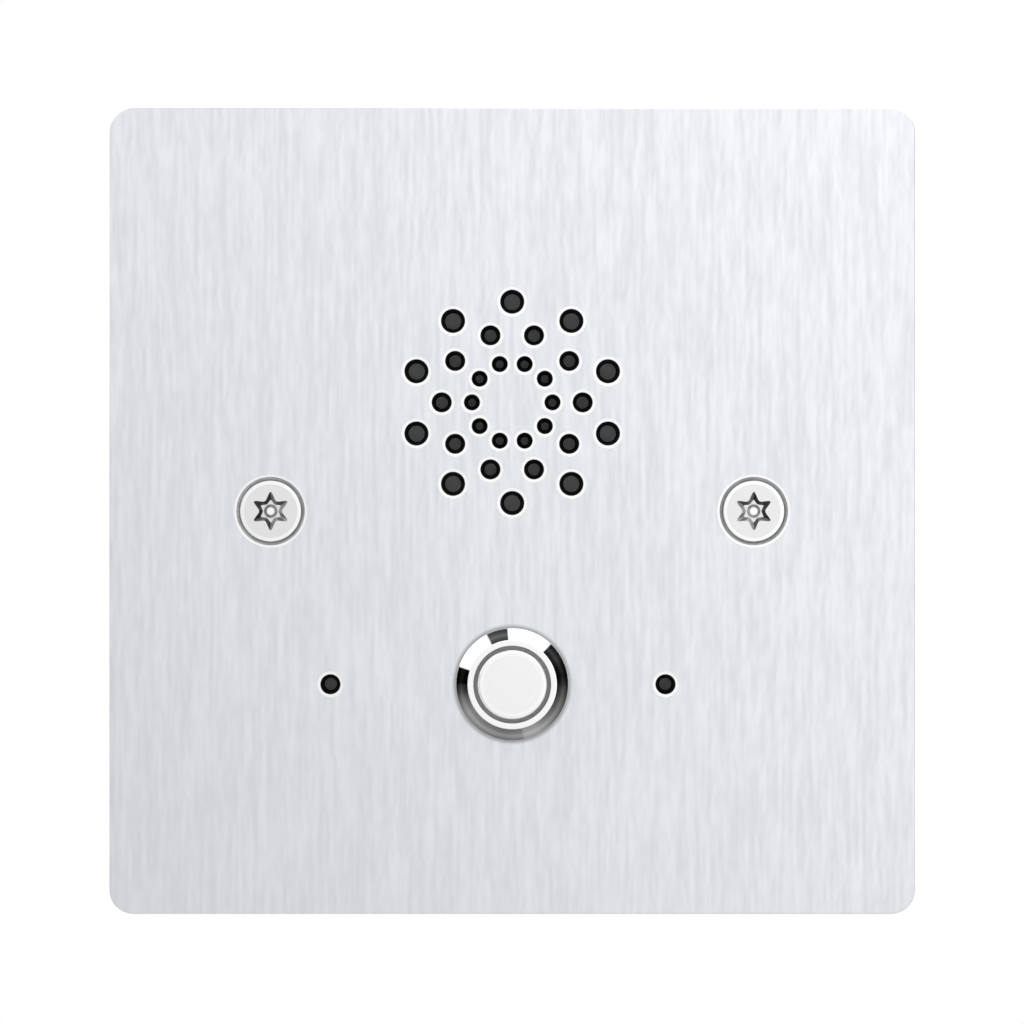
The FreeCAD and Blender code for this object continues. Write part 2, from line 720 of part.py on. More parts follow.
def make_speaker_terminals():
    """A strip under the basket's seat with two solder tags, and the flat lead to the board."""
    middle = f"(0 - {YOKE_OUTSIDE} - Sizes.strip_gap - Sizes.strip_length / 2)"
    body = new_body("terminal_strip", z="Sizes.speaker_height")
    strip = front_sketch(body, "strip_outline", BASKET_BACK)
    draw_rectangle(strip, "Sizes.strip_width", "Sizes.strip_length", z=middle)
    pad(body, strip, "strip", "Sizes.strip_thickness")
    body = new_body("terminal_tags", z="Sizes.speaker_height")
    tags = front_sketch(body, "tag_outlines", f"{BASKET_BACK} + Sizes.strip_thickness")
    for side in ("0 - ", ""):
        place = f"{side}Sizes.tag_spacing / 2"
        draw_rectangle(tags, "Sizes.tag_width", "Sizes.tag_length", x=place, z=middle)
    pad(body, tags, "tags", "Sizes.tag_thickness")
    body = new_body("speaker_lead", z="Sizes.speaker_height")
    near = f"({BASKET_BACK} + Sizes.strip_thickness + Sizes.tag_thickness)"
    far = f"({near} + Sizes.lead_thickness)"
    start = f"({middle} + Sizes.tag_length / 2)"
    low = f"({middle} - Sizes.strip_length / 2 - Sizes.lead_overhang)"
    high = f"({low} + Sizes.lead_thickness)"
    outer = "(Sizes.lead_bend + Sizes.lead_thickness)"
    ribbon = new_sketch(body, "lead_side", "YZ_Plane")
    draw_outline(ribbon, [
        (near, start),
        (near, f"{low} + {outer}", outer),
        (f"{near} + {outer}", low),
        (BOARD_FRONT, low),
        (BOARD_FRONT, high),
        (f"{far} + Sizes.lead_bend", high, "Sizes.lead_bend", "clockwise"),
        (far, f"{high} + Sizes.lead_bend"),
        (far, start),
    ])
    centred_pad(body, ribbon, "lead", "Sizes.lead_width")


def make_speaker_clamps():
    """Angle clamps over the speaker's flange, each on a welded stud with a nut."""
    outer = f"({CLAMP_STUD} + Sizes.clamp_reach)"
    top = f"({FLANGE_BACK} + Sizes.clamp_sheet)"
    body = new_body("speaker_clamp", z="Sizes.speaker_height", node=False)
    side = new_sketch(body, "clamp_side", "XY_Plane")
    grip = "(Sizes.speaker_diameter / 2 - Sizes.clamp_grip)"
    draw_outline(side, [
        (grip, FLANGE_BACK),
        (f"{outer} - Sizes.clamp_sheet", FLANGE_BACK),
        (f"{outer} - Sizes.clamp_sheet", PLATE_BACK),
        (outer, PLATE_BACK),
        (outer, top),
        (grip, top),
    ])
    centred_pad(body, side, "clamp", "Sizes.clamp_width")
    hole = front_sketch(body, "clamp_hole", FLANGE_BACK)
    draw_circle(hole, "Sizes.clearance_hole", CLAMP_STUD)
    pocket(body, hole, "clamp_hole_cut")
    both_clamps("speaker_clamps", body)
    body = new_body("clamp_nut", z="Sizes.speaker_height", node=False)
    nut = front_sketch(body, "clamp_nut_outline", top)
    draw_hexagon(nut, "Sizes.nut_flats", CLAMP_STUD)
    draw_circle(nut, "Sizes.stud_diameter + 2 * Sizes.thread_gap", CLAMP_STUD)
    pad(body, nut, "clamp_nut_hexagon", "Sizes.nut_thickness")
    both_clamps("clamp_nuts", body)
    body = new_body("clamp_stud", z="Sizes.speaker_height", node=False)
    stud = front_sketch(body, "clamp_stud_outline", PLATE_BACK)
    draw_circle(stud, "Sizes.stud_diameter", CLAMP_STUD)
    reach = f"{top} + Sizes.nut_thickness + Sizes.stud_past_nut - {PLATE_BACK}"
    pad(body, stud, "clamp_stud_rod", reach)
    both_clamps("clamp_studs", body)


def make_standoffs():
    """Hexagonal standoffs welded to the plate, bored at the board for the housing screws."""
    body = new_body("standoff", CORNER_X, CORNER_Z, node=False)
    column = front_sketch(body, "standoff_outline", PLATE_BACK)
    draw_hexagon(column, "Sizes.nut_flats")
    pad(body, column, "standoff_column", "Sizes.standoff_length")
    hole = front_sketch(body, "standoff_bore_outline", f"{BOARD_FRONT} - Sizes.standoff_bore_depth")
    draw_circle(hole, "Sizes.stud_diameter + 2 * Sizes.thread_gap")
    pocket(body, hole, "standoff_bore")
    group("standoffs", body, corner_places()[1:])


def recessed_outline(sketch, inset):
    """The housing's outline with its two lug recesses, drawn a distance inside its outer face."""
    side = f"(Sizes.housing_width / 2 - {inset})"
    level = f"(Sizes.housing_height / 2 - {inset})"
    floor = f"(Sizes.lug_recess_floor - {inset})"
    step = f"(Sizes.lug_recess_height / 2 + {inset})"
    corner = f"(Sizes.housing_corner + Sizes.housing_wall - {inset})"
    low = [(side, f"0 - {level}", corner), (side, f"0 - {step}"), (floor, f"0 - {step}")]
    high = [(x, z.removeprefix("0 - "), *radius) for x, z, *radius in reversed(low)]
    right = low + high
    left = [(f"0 - {x}", z, *radius) for x, z, *radius in reversed(right)]
    draw_outline(sketch, rounded(right + left))


def make_circuit_board():
    body = new_body("circuit_board")
    board = front_sketch(body, "board_outline", BOARD_FRONT)
    recessed_outline(board, "(Sizes.housing_wall + Sizes.board_gap)")
    for x, z in corner_places():
        draw_circle(board, "Sizes.clearance_hole", x, z)
    for side in ("0 - ", ""):
        draw_pin_slot(board, f"{side}Sizes.pin_spacing / 2", "Sizes.lower_row")
    pad(body, board, "board", "Sizes.board_thickness")


def make_microphones():
    """Capsules on the board in rubber boots that lead the sound in from the plate's small holes."""
    capsule_front = f"({BOARD_FRONT} - Sizes.capsule_height)"
    places = [(MICROPHONE_LEFT, "Sizes.lower_row")]
    body = new_body("microphone_capsule", MICROPHONE_RIGHT, "Sizes.lower_row", node=False)
    can = front_sketch(body, "capsule_outline", capsule_front)
    draw_circle(can, "Sizes.capsule_diameter")
    pad(body, can, "capsule_can", "Sizes.capsule_height")
    group("microphone_capsules", body, places)
    body = new_body("microphone_boot", MICROPHONE_RIGHT, "Sizes.lower_row", node=False)
    tube = front_sketch(body, "boot_outline", CLOTH_BACK)
    draw_circle(tube, "Sizes.boot_diameter")
    draw_circle(tube, "Sizes.capsule_diameter + 2 * Sizes.boot_gap")
    pad(body, tube, "boot_tube", f"{BOARD_FRONT} - Sizes.boot_to_board - {CLOTH_BACK}")
    group("microphone_boots", body, places)


def make_button_body():
    """The bevelled bezel and threaded barrel in one piece, and the flat seal under the bezel."""
    body = new_body("button_body", z="Sizes.lower_row")
    outside = "Sizes.bezel_diameter / 2"
    end = f"{PLATE_FRONT} + Sizes.barrel_length"
    turn(body, [
        ("Sizes.bezel_mouth / 2", BEZEL_FRONT),
        (f"{outside} - Sizes.bezel_bevel", BEZEL_FRONT),
        (outside, f"{BEZEL_FRONT} + Sizes.bezel_bevel"),
        (outside, BEZEL_BACK),
        ("Sizes.barrel_diameter / 2", BEZEL_BACK),
        ("Sizes.barrel_diameter / 2", end),
        ("Sizes.barrel_bore / 2", end),
        ("Sizes.barrel_bore / 2", LIP_BACK),
        ("Sizes.bezel_mouth / 2", LIP_BACK),
    ])
    body = new_body("button_seal", z="Sizes.lower_row")
    ring = front_sketch(body, "button_seal_outline", BEZEL_BACK)
    draw_circle(ring, "Sizes.barrel_diameter + 2 * Sizes.button_seal_gap")
    draw_circle(ring, "Sizes.bezel_diameter - 2 * Sizes.button_seal_inset")
    pad(body, ring, "button_seal_ring", "Sizes.button_seal_thickness")


def make_barrel_fastening():
    """The lock washer and the hexagon nut that hold the button in the plate."""
    hole = "Sizes.barrel_diameter + 2 * Sizes.thread_gap"
    body = new_body("lock_washer", z="Sizes.lower_row")
    ring = front_sketch(body, "washer_outline", PLATE_BACK)
    draw_circle(ring, "Sizes.washer_diameter")
    draw_circle(ring, hole)
    pad(body, ring, "washer", "Sizes.washer_thickness")
    body = new_body("barrel_nut", z="Sizes.lower_row")
    nut = front_sketch(body, "barrel_nut_outline", f"{PLATE_BACK} + Sizes.washer_thickness")
    draw_hexagon(nut, "Sizes.barrel_nut_flats")
    draw_circle(nut, hole)
    pad(body, nut, "barrel_nut_hexagon", "Sizes.barrel_nut_thickness")


def make_button_cap():
    """The cap with its guide flange, the seal in the flange's groove, and the plunger behind them."""
    rim = "Sizes.cap_diameter / 2"
    guide = "(Sizes.barrel_bore / 2 - Sizes.slide_gap)"
    groove_front = f"({FLANGE_STOP} + (Sizes.cap_flange_length - Sizes.plunger_seal_width) / 2)"
    groove_back = f"({groove_front} + Sizes.plunger_seal_width)"
    groove = f"({guide} - Sizes.plunger_seal_depth)"
    body = new_body("button_cap", z="Sizes.lower_row")
    turn(body, [
        ("0", CAP_FRONT),
        (f"{rim} - Sizes.cap_edge", CAP_FRONT),
        (rim, f"{CAP_FRONT} + Sizes.cap_edge"),
        (rim, FLANGE_STOP),
        (guide, FLANGE_STOP),
        (guide, groove_front),
        (groove, groove_front),
        (groove, groove_back),
        (guide, groove_back),
        (guide, CAP_BACK),
        ("0", CAP_BACK),
    ])
    body = new_body("plunger_seal", z="Sizes.lower_row")
    ring = front_sketch(body, "plunger_seal_outline", groove_front)
    draw_circle(ring, f"2 * ({groove} + Sizes.plunger_seal_gap)")
    draw_circle(ring, "Sizes.barrel_bore - 2 * Sizes.plunger_seal_gap")
    pad(body, ring, "plunger_seal_ring", "Sizes.plunger_seal_width")
    body = new_body("button_plunger", z="Sizes.lower_row")
    tip_back = f"{CONTACT_BACK} + Sizes.plunger_tip_length"
    turn(body, [
        ("0", CAP_BACK),
        ("Sizes.plunger_diameter / 2", CAP_BACK),
        ("Sizes.plunger_diameter / 2", CONTACT_FRONT),
        ("Sizes.plunger_tip / 2", CONTACT_FRONT),
        ("Sizes.plunger_tip / 2", tip_back),
        ("0", tip_back),
    ])
    body = new_body("moving_contact", z="Sizes.lower_row")
    bar = front_sketch(body, "contact_outline", CONTACT_FRONT)
    draw_rectangle(bar, "Sizes.contact_length", "Sizes.contact_width")
    draw_circle(bar, "Sizes.plunger_tip + 2 * Sizes.fit_gap")
    pad(body, bar, "contact_bar", "Sizes.contact_thickness")


def draw_pin_slot(sketch, x, z="0"):
    """The slot for one contact pin."""
    size = [f"Sizes.pin_{side} + 2 * Sizes.pin_gap" for side in ("width", "thickness")]
    draw_rectangle(sketch, *size, x=x, z=z)


def make_switch_base():
    """The moulded base that closes the barrel, and the two contact pins through it to the board."""
    body = new_body("switch_base", z="Sizes.lower_row")
    plug = "Sizes.barrel_bore / 2 - Sizes.slide_gap"
    barrel_end = f"{PLATE_FRONT} + Sizes.barrel_length"
    turn(body, [
        ("0", BASE_FRONT),
        (plug, BASE_FRONT),
        (plug, barrel_end),
        ("Sizes.barrel_diameter / 2", barrel_end),
        ("Sizes.barrel_diameter / 2", f"{barrel_end} + Sizes.base_rim"),
        ("0", f"{barrel_end} + Sizes.base_rim"),
    ])
    slots = front_sketch(body, "pin_slot_outlines", BASE_FRONT)
    for side in ("0 - ", ""):
        draw_pin_slot(slots, f"{side}Sizes.pin_spacing / 2")
    pocket(body, slots, "pin_slots")
    body = new_body("contact_pins", z="Sizes.lower_row")
    pins = front_sketch(body, "pin_outlines", PIN_FRONT)
    for side in ("0 - ", ""):
        draw_rectangle(pins, "Sizes.pin_width", "Sizes.pin_thickness", x=f"{side}Sizes.pin_spacing / 2")
    pad(body, pins, "pins", f"{BOARD_BACK} + Sizes.pin_past_board - {PIN_FRONT}")


def make_return_spring():
    """A coil of square wire between the cap's flange and the switch base."""
    body = new_body("return_spring", z="Sizes.lower_row")
    start = f"({CAP_BACK} + Sizes.spring_end_gap + Sizes.spring_wire / 2)"
    end = f"({BASE_FRONT} - Sizes.spring_end_gap - Sizes.spring_wire / 2)"
    wire = new_sketch(body, "spring_wire_section", "XY_Plane")
    draw_rectangle(wire, "Sizes.spring_wire", "Sizes.spring_wire", x="Sizes.spring_diameter / 2", z=start)
    coil = body.newObject("PartDesign::AdditiveHelix", "spring_coil")
    coil.Profile = wire
    coil.ReferenceAxis = (wire, ["V_Axis"])
    coil.Mode = "height-turns-angle"
    coil.setExpression("Height", f"{end} - {start}")
    coil.setExpression("Turns", "Sizes.spring_turns")
    body.Tip = coil


def make_rear_housing():
    """The moulded housing, recessed at both sides for the box's lugs, with ribs, posts and a window."""
    body = new_body("rear_housing")
    shell = front_sketch(body, "housing_outline", HOUSING_RIM)
    recessed_outline(shell, "0")
    pad(body, shell, "housing_block", f"{HOUSING_BACK} - {HOUSING_RIM}")
    dress(body, "back_edge", "Sizes.housing_back_edge", lambda edge: in_plane(edge, HOUSING_BACK))
    room = front_sketch(body, "housing_room", HOUSING_RIM)
    recessed_outline(room, "Sizes.housing_wall")
    pocket(body, room, "housing_hollow", f"{HOUSING_INSIDE} - {HOUSING_RIM}")
    ribs = front_sketch(body, "rib_outlines", f"{HOUSING_INSIDE} - Sizes.rib_height")
    length = "(Sizes.housing_height - Sizes.housing_wall)"
    for side in ("0 - ", ""):
        draw_rectangle(ribs, "Sizes.rib_thickness", length, x=f"{side}Sizes.rib_spacing")
    pad(body, ribs, "ribs", "Sizes.rib_height")
    posts = front_sketch(body, "post_outlines", BOARD_BACK)
    holes = front_sketch(body, "housing_screw_holes", BOARD_BACK)
    sinks = front_sketch(body, "counterbore_outlines", SCREW_SEAT)
    for x, z in corner_places():
        draw_circle(posts, "Sizes.boss_diameter", x, z)
        draw_circle(holes, "Sizes.clearance_hole", x, z)
        draw_circle(sinks, "Sizes.counterbore", x, z)
    pad(body, posts, "screw_posts", "Sizes.board_to_housing")
    pocket(body, holes, "screw_holes")
    pocket(body, sinks, "counterbores")
    window = front_sketch(body, "jack_window", HOUSING_INSIDE)
    gap = "2 * (Sizes.shield_gap + Sizes.shield_sheet + Sizes.window_gap)"
    size = [f"Sizes.jack_{side} + {gap}" for side in ("width", "height")]
    draw_rectangle(window, *size, x="Sizes.jack_x", z="Sizes.jack_z")
    pocket(body, window, "jack_window_cut")
    dress(body, "window_bevel", "Sizes.window_edge", near_jack)


def near_jack(edge):
    """Whether an edge lies on the housing's back, round the jack's window."""
    middle = edge.BoundBox.Center
    reach = number("Sizes.jack_width")
    near = abs(middle.x - number("Sizes.jack_x")) < reach and abs(middle.z - number("Sizes.jack_z")) < reach
    return near and in_plane(edge, HOUSING_BACK)


def make_housing_seal():
    body = new_body("housing_seal")
    ring = front_sketch(body, "housing_seal_outline", PLATE_BACK)
    recessed_outline(ring, "0")
    recessed_outline(ring, "Sizes.housing_wall")
    pad(body, ring, "housing_seal_ring", "Sizes.housing_seal_thickness")


def make_housing_screws():
    """Long screws through the housing's posts and the board into the standoffs."""
    body = new_body("housing_screw", CORNER_X, CORNER_Z, node=False)
    top = f"({SCREW_SEAT} + Sizes.housing_screw_head_height)"
    tip = f"({SCREW_SEAT} - Sizes.housing_screw_length)"
    turn(body, [
        ("0", tip),
        ("Sizes.stud_diameter / 2", tip),
        ("Sizes.stud_diameter / 2", SCREW_SEAT),
        ("Sizes.housing_screw_head / 2", SCREW_SEAT),
        ("Sizes.housing_screw_head / 2", top),
        ("0", top),
    ])
    group("housing_screws", body, corner_places()[1:])


def make_network_jack():
    """The jack on the back of the board: moulded body, metal shield and contacts in its cavity."""
    back = f"({BOARD_BACK} + Sizes.jack_depth)"
    place = ("Sizes.jack_x", "Sizes.jack_z")
    low = "(Sizes.jack_cavity_rise - Sizes.jack_height / 2)"
    top = f"({low} + Sizes.jack_cavity_height)"
    latch = f"({top} + Sizes.latch_height)"
    slot = f"({latch} + Sizes.latch_slot_height)"
    body = new_body("network_jack", *place)
    block = front_sketch(body, "jack_outline", BOARD_BACK)
    draw_rectangle(block, "Sizes.jack_width", "Sizes.jack_height")
    pad(body, block, "jack_block", "Sizes.jack_depth")
    cavity = front_sketch(body, "cavity_outline", f"{back} - Sizes.jack_cavity_depth")
    steps = [("jack_cavity_width", low), ("jack_cavity_width", top), ("latch_width", top)]
    steps += [("latch_width", latch), ("latch_slot_width", latch), ("latch_slot_width", slot)]
    right = [(f"Sizes.{width} / 2", level) for width, level in steps]
    draw_outline(cavity, right + [(f"0 - {x}", z) for x, z in reversed(right)])
    pocket(body, cavity, "cavity")
    body = new_body("jack_shield", *place)
    sleeve = front_sketch(body, "shield_outline", BOARD_BACK)
    for reach in ("Sizes.shield_gap", "(Sizes.shield_gap + Sizes.shield_sheet)"):
        draw_rectangle(sleeve, f"Sizes.jack_width + 2 * {reach}", f"Sizes.jack_height + 2 * {reach}")
    pad(body, sleeve, "shield", "Sizes.jack_depth")
    first = "(1 - Sizes.jack_contacts) / 2 * Sizes.jack_contact_pitch"
    body = new_body("jack_contact", f"{place[0]} + {first}", place[1], node=False)
    wire = new_sketch(body, "contact_side", "YZ_Plane")
    mouth = f"({back} - Sizes.jack_contact_inset)"
    end = f"({back} - Sizes.jack_cavity_depth + Sizes.jack_contact_inset)"
    foot = f"({low} + Sizes.jack_contact_gap)"
    draw_outline(wire, [
        (end, f"{foot} + Sizes.jack_contact_lift"),
        (mouth, foot),
        (mouth, f"{foot} + Sizes.jack_contact_wire"),
        (end, f"{foot} + Sizes.jack_contact_lift + Sizes.jack_contact_wire"),
    ])
    centred_pad(body, wire, "contact_wire", "Sizes.jack_contact_wire")
    count = int(number("Sizes.jack_contacts"))
    steps = [f"{place[0]} + {first} + {step} * Sizes.jack_contact_pitch" for step in range(1, count)]
    group("jack_contacts", body, [(x, place[1]) for x in steps])


def make_block(name, place, width, height, thickness, corner=None):
    """A moulded component on the back of the board."""
    body = new_body(name, *place)
    outline = front_sketch(body, f"{name}_outline", BOARD_BACK)
    draw_rectangle(outline, width, height, corner)
    pad(body, outline, f"{name}_block", thickness)
    if corner is None:
        depth = f"{BOARD_BACK} + {thickness}"
        dress(body, f"{name}_edge", "Sizes.part_edge", lambda edge: in_plane(edge, depth))


def make_board_parts():
    """The larger parts on the back of the board."""
    for name, sides in (
        ("processor", ("side", "side")),
        ("amplifier", ("width", "height")),
        ("network_transformer", ("width", "height")),
        ("inductor", ("side", "side")),
    ):
        place = (f"Sizes.{name}_x", f"Sizes.{name}_z")
        width, height = [f"Sizes.{name}_{side}" for side in sides]
        make_block(name, place, width, height, f"Sizes.{name}_thickness")
    place = ("Sizes.crystal_x", "Sizes.crystal_z")
    size = ("Sizes.crystal_length", "Sizes.crystal_width", "Sizes.crystal_height")
    make_block("crystal", place, *size, "Sizes.crystal_corner")
    body = new_body("capacitor", "Sizes.capacitor_x", "Sizes.capacitor_z", node=False)
    foot = front_sketch(body, "capacitor_foot_outline", BOARD_BACK)
    draw_rectangle(foot, "Sizes.capacitor_foot", "Sizes.capacitor_foot")
    pad(body, foot, "capacitor_foot", "Sizes.capacitor_foot_height")
    can = front_sketch(body, "capacitor_can_outline", f"{BOARD_BACK} + Sizes.capacitor_foot_height")
    draw_circle(can, "Sizes.capacitor_diameter")
    pad(body, can, "capacitor_can", "Sizes.capacitor_height - Sizes.capacitor_foot_height")
    group("capacitors", body, [("Sizes.capacitor_x", "Sizes.capacitor_z + Sizes.capacitor_spacing")])


def write_nodes():
    """Check every object of the document, then write each node's shape to its own file."""
    doc.recompute()
    for item in doc.Objects:
        if "Invalid" in item.State or "Error" in item.State:
            raise RuntimeError(f"{item.Name} failed: {item.State}")
    for node in nodes:
        if node.Shape.isNull() or not node.Shape.isValid():
            raise RuntimeError(f"{node.Label} has no valid shape")
    os.makedirs("parts", exist_ok=True)
    for node in nodes:
        node.Shape.exportStep(f"parts/{node.Label}.step")


make_faceplate()
make_wall_gasket()
make_fixing_screws()
make_cloths()
make_speaker_seal()
make_speaker_basket()
make_speaker_surround()
make_speaker_cone()
make_speaker_motor()
make_speaker_terminals()
make_speaker_clamps()
make_standoffs()
make_circuit_board()
make_microphones()
make_button_body()
make_barrel_fastening()
make_button_cap()
make_switch_base()
make_return_spring()
make_rear_housing()
make_housing_seal()
make_housing_screws()
make_network_jack()
make_board_parts()
write_nodes()
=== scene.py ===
import math

import bmesh
import bpy
from bpy.props import FloatProperty, FloatVectorProperty, IntProperty, PointerProperty
from mathutils import Matrix, Vector


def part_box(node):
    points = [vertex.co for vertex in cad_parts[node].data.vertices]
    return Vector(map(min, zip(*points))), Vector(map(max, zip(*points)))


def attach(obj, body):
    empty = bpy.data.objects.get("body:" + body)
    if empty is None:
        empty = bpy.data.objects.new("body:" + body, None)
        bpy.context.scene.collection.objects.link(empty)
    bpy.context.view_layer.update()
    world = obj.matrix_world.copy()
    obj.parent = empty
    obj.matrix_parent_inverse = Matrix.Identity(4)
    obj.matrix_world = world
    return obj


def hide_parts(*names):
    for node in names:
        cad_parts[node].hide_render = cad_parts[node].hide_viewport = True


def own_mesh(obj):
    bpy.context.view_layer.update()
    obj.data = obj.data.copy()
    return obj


bl_info = {
    "name": "Flush Call Panel",
    "version": (1, 0, 0),
    "blender": (4, 5, 0),
    "location": "View3D > Sidebar > Call Panel",
    "description": "Dresses the frame of a flush wall call panel and sets it in a plain studio",
    "category": "Add Mesh",
}

# The panel's front faces -Y, with +X at the caller's right and +Z up. All lengths are in metres.
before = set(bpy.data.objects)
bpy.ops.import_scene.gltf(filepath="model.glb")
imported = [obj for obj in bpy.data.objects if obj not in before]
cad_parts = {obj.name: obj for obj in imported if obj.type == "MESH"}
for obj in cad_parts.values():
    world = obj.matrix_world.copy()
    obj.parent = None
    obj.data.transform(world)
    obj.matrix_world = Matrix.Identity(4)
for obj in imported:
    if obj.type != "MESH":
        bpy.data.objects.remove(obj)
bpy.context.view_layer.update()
PLATE_LOW, PLATE_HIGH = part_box("faceplate")
BEZEL_LOW, BEZEL_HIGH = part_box("button_body")
CAP_LOW, CAP_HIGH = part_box("button_cap")
SPRING_LOW, SPRING_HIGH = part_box("return_spring")
SCREWS_LOW, SCREWS_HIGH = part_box("fixing_screws")
LONG_SCREWS_LOW, LONG_SCREWS_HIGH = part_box("housing_screws")
FULL_TURN = 2 * math.pi
# Points nearer than this are one: those of a turned outline, and those of a CAD node's triangles.
TOUCHING = 1e-7
TRIANGLE_JOINT = 1e-6
# A wall of a drive recess that faces the panel's middle and down is in the shade. The limits say how far a
# wall turns that way, and the steps how much lighter each kind of wall is than the darkest.
SHADED_WAY = (0.85, -0.5)
RECESS_LIMITS = (0.7, 0.3, -0.6)
RECESS_STEPS = (1.0, 3.0, 10.0, 20.0)
# X + Z at which the strokes of the belt finish stand out in full, and at which they would be gone.
CALM_SIDES = (0.07, -0.25)
# Shares of the bezel's radius between which a painted shadow darkens the plate round it, and the shadow's
# tint.
BEZEL_SHADOW_RING = (1.01, 1.07)
BEZEL_SHADOW_TINT = (0.62, 0.62, 0.62)
# Share of a housing screw's head that is flat across its width, and rounded along its height.
CROWN = 0.62
# Half the width of a thread's foot and of its crest, in pitches, and how deep the foot lies in the core.
THREAD_FOOT = 0.42
THREAD_CREST = 0.07
THREAD_SUNK = 0.00002


def length(label, description, default):
    """A size that a user may change, in metres."""
    return FloatProperty(name=label, description=description, default=default, unit="LENGTH", precision=5)


def lengths(label, description, default):
    """Sizes of like things that a user may change, in metres."""
    return FloatVectorProperty(name=label, description=description, default=default, size=len(default),
                               unit="LENGTH", precision=5)


def colour(label, description, default):
    """A linear colour that a user may change."""
    return FloatVectorProperty(name=label, description=description, default=default, subtype="COLOR",
                               min=0.0, max=1.0)


def count(label, description, default):
    """A whole number that a user may change."""
    return IntProperty(name=label, description=description, default=default, min=3)


class FaceplateSizes(bpy.types.PropertyGroup):
    """Sizes of the plate and of the holes through it"""
    corner: length("Corner radius", "Radius of the plate's four corners", 0.003)
    edge: length("Edge rounding", "Rounding of the front edge", 0.00012)
    rim_width: length("Rim width", "Width of the bright deburred rim round each hole", 0.00035)
    cone_rim: length("Countersink rim", "Width of the bright rim round each countersink", 0.00028)
    rim_depth: length("Rim depth", "Depth of the deburred rim at the hole", 0.000012)
    taper: length("Hole taper", "How far the dark wall of a hole leans in towards the back", 0.0005)
    speaker_height: length("Speaker height", "Height of the sound holes' centre", 0.0135)
    rings: lengths("Sound rings", "Radii of the rings of sound holes", (0.0125, 0.00875, 0.005))
    ring_diameters: lengths("Sound holes", "Diameter of the holes in each ring", (0.003, 0.0025, 0.002))
    ring_starts: FloatVectorProperty(name="Ring starts", description="Turns from the right to a first hole",
                                     default=(0.25, 0.0, 0.0))
    ring_holes: count("Holes per ring", "How many sound holes each ring has", 10)
    lower_row: length("Lower row", "Height of the button and the microphone holes", -0.0215)
    microphone_spacing: length("Microphone spacing", "Between the two microphone holes", 0.0416)
    microphone_shift: length("Microphone shift", "How far their middle lies right of the button", -0.00177)
    microphone_hole: length("Microphone holes", "Diameter of the microphone holes", 0.0025)
    button_hole: length("Button hole", "Diameter of the hole for the button's barrel", 0.0122)
    screw_hole: length("Screw holes", "Diameter of the fixing screws' clearance holes", 0.0045)
    countersink: length("Countersink", "Diameter of the countersinks at the front", 0.0085)


class ScrewSizes(bpy.types.PropertyGroup):
    """Sizes of the two countersunk fixing screws"""
    spacing: length("Spacing", "Between the two fixing screws", 0.060)
    head: length("Head", "Diameter of the head", 0.0076)
    head_edge: length("Head edge", "Height of the head's rim above its cone", 0.00035)
    head_ring: length("Head ring", "Width of the bright ring round the head's face", 0.00035)
    ring_drop: length("Ring drop", "How far that ring falls back at its outer side", 0.000012)
    head_rounding: length("Head rounding", "Radius of the head's edge", 0.00012)
    neck: length("Neck", "Diameter where the screw passes the plate", 0.0032)
    neck_end: length("Neck end", "Depth at which the neck ends", -0.0003)
    shoulder: length("Shoulder", "Length of the step from the neck to the thread's root", 0.0001)
    thread: length("Thread", "Outer diameter of the thread", 0.004)
    thread_root: length("Thread root", "Diameter at the bottom of the thread", 0.0032)
    pitch: length("Pitch", "Distance from one turn of the thread to the next", 0.0007)
    thread_end: length("Thread end", "How far the thread stays clear of both its ends", 0.0002)
    chamfer: length("End chamfer", "Chamfer at the screw's end", 0.0004)
    star: length("Star", "Across the points of the six-point recess", 0.0053)
    star_valley: length("Star valleys", "Across the valleys of the recess", 0.00265)
    star_floor: length("Star floor", "Across the points of the recess's floor", 0.0029)
    floor_valley: length("Floor valleys", "Across the valleys of the recess's floor", 0.00185)
    star_depth: length("Star depth", "Depth of the recess", 0.0009)
    point_rounding: length("Point rounding", "Rounding of the recess's points", 0.00048)
    valley_rounding: length("Valley rounding", "Rounding of the recess's valleys", 0.0003)
    floor_rounding: length("Floor rounding", "Rounding of the floor's points, half its valleys'", 0.0001)
    pin: length("Pin", "Diameter of the centre pin's face", 0.00095)
    pin_foot: length("Pin foot", "Diameter of the pin at the recess's floor", 0.0017)
    pin_drop: length("Pin drop", "How far the pin ends below the head's face", 0.00015)


class ButtonSizes(bpy.types.PropertyGroup):
    """Sizes of the push button"""
    bevel: length("Bevel", "Width of the bezel's mirror bevel", 0.00155)
    bevel_depth: length("Bevel depth", "How far the bevel falls back, just under its width", 0.00151)
    mouth: length("Mouth", "Diameter of the opening round the cap", 0.0096)
    lip: length("Lip", "Depth of the opening round the cap", 0.0016)
    skirt: length("Skirt", "Height of the bezel behind its bevel", 0.00019)
    barrel: length("Barrel", "Outer diameter of the barrel", 0.012)
    bore: length("Bore", "Inner diameter of the barrel", 0.0104)
    cap: length("Cap", "Diameter of the cap", 0.0086)
    cap_rounding: length("Cap rounding", "Radius of the cap's edge", 0.0003)
    satin: length("Satin face", "Diameter of the cap's satin middle", 0.0072)
    rim_drop: length("Rim drop", "How far the cap's polished rim falls back", 0.000002)
    guide: length("Guide", "Diameter of the cap's guide flange", 0.01028)
    guide_length: length("Guide length", "Length of the guide flange", 0.0024)
    groove_width: length("Groove width", "Width of the seal's groove in the flange", 0.001)
    groove_depth: length("Groove depth", "Depth of the seal's groove", 0.0007)
    spring_wire: length("Spring wire", "Diameter of the return spring's wire", 0.00045)
    spring_turns: FloatProperty(name="Spring turns", description="Turns of the return spring", default=3.5)
    break_edge: length("Broken edge", "Small rounding of the bezel's edges", 0.00005)
    # Width of the bezel's outer edge that takes the grey groove finish as painted shade.
    shaded_edge_width: length("Dull edge", "Width of the dulled outer edge of the bezel", 0.00011)


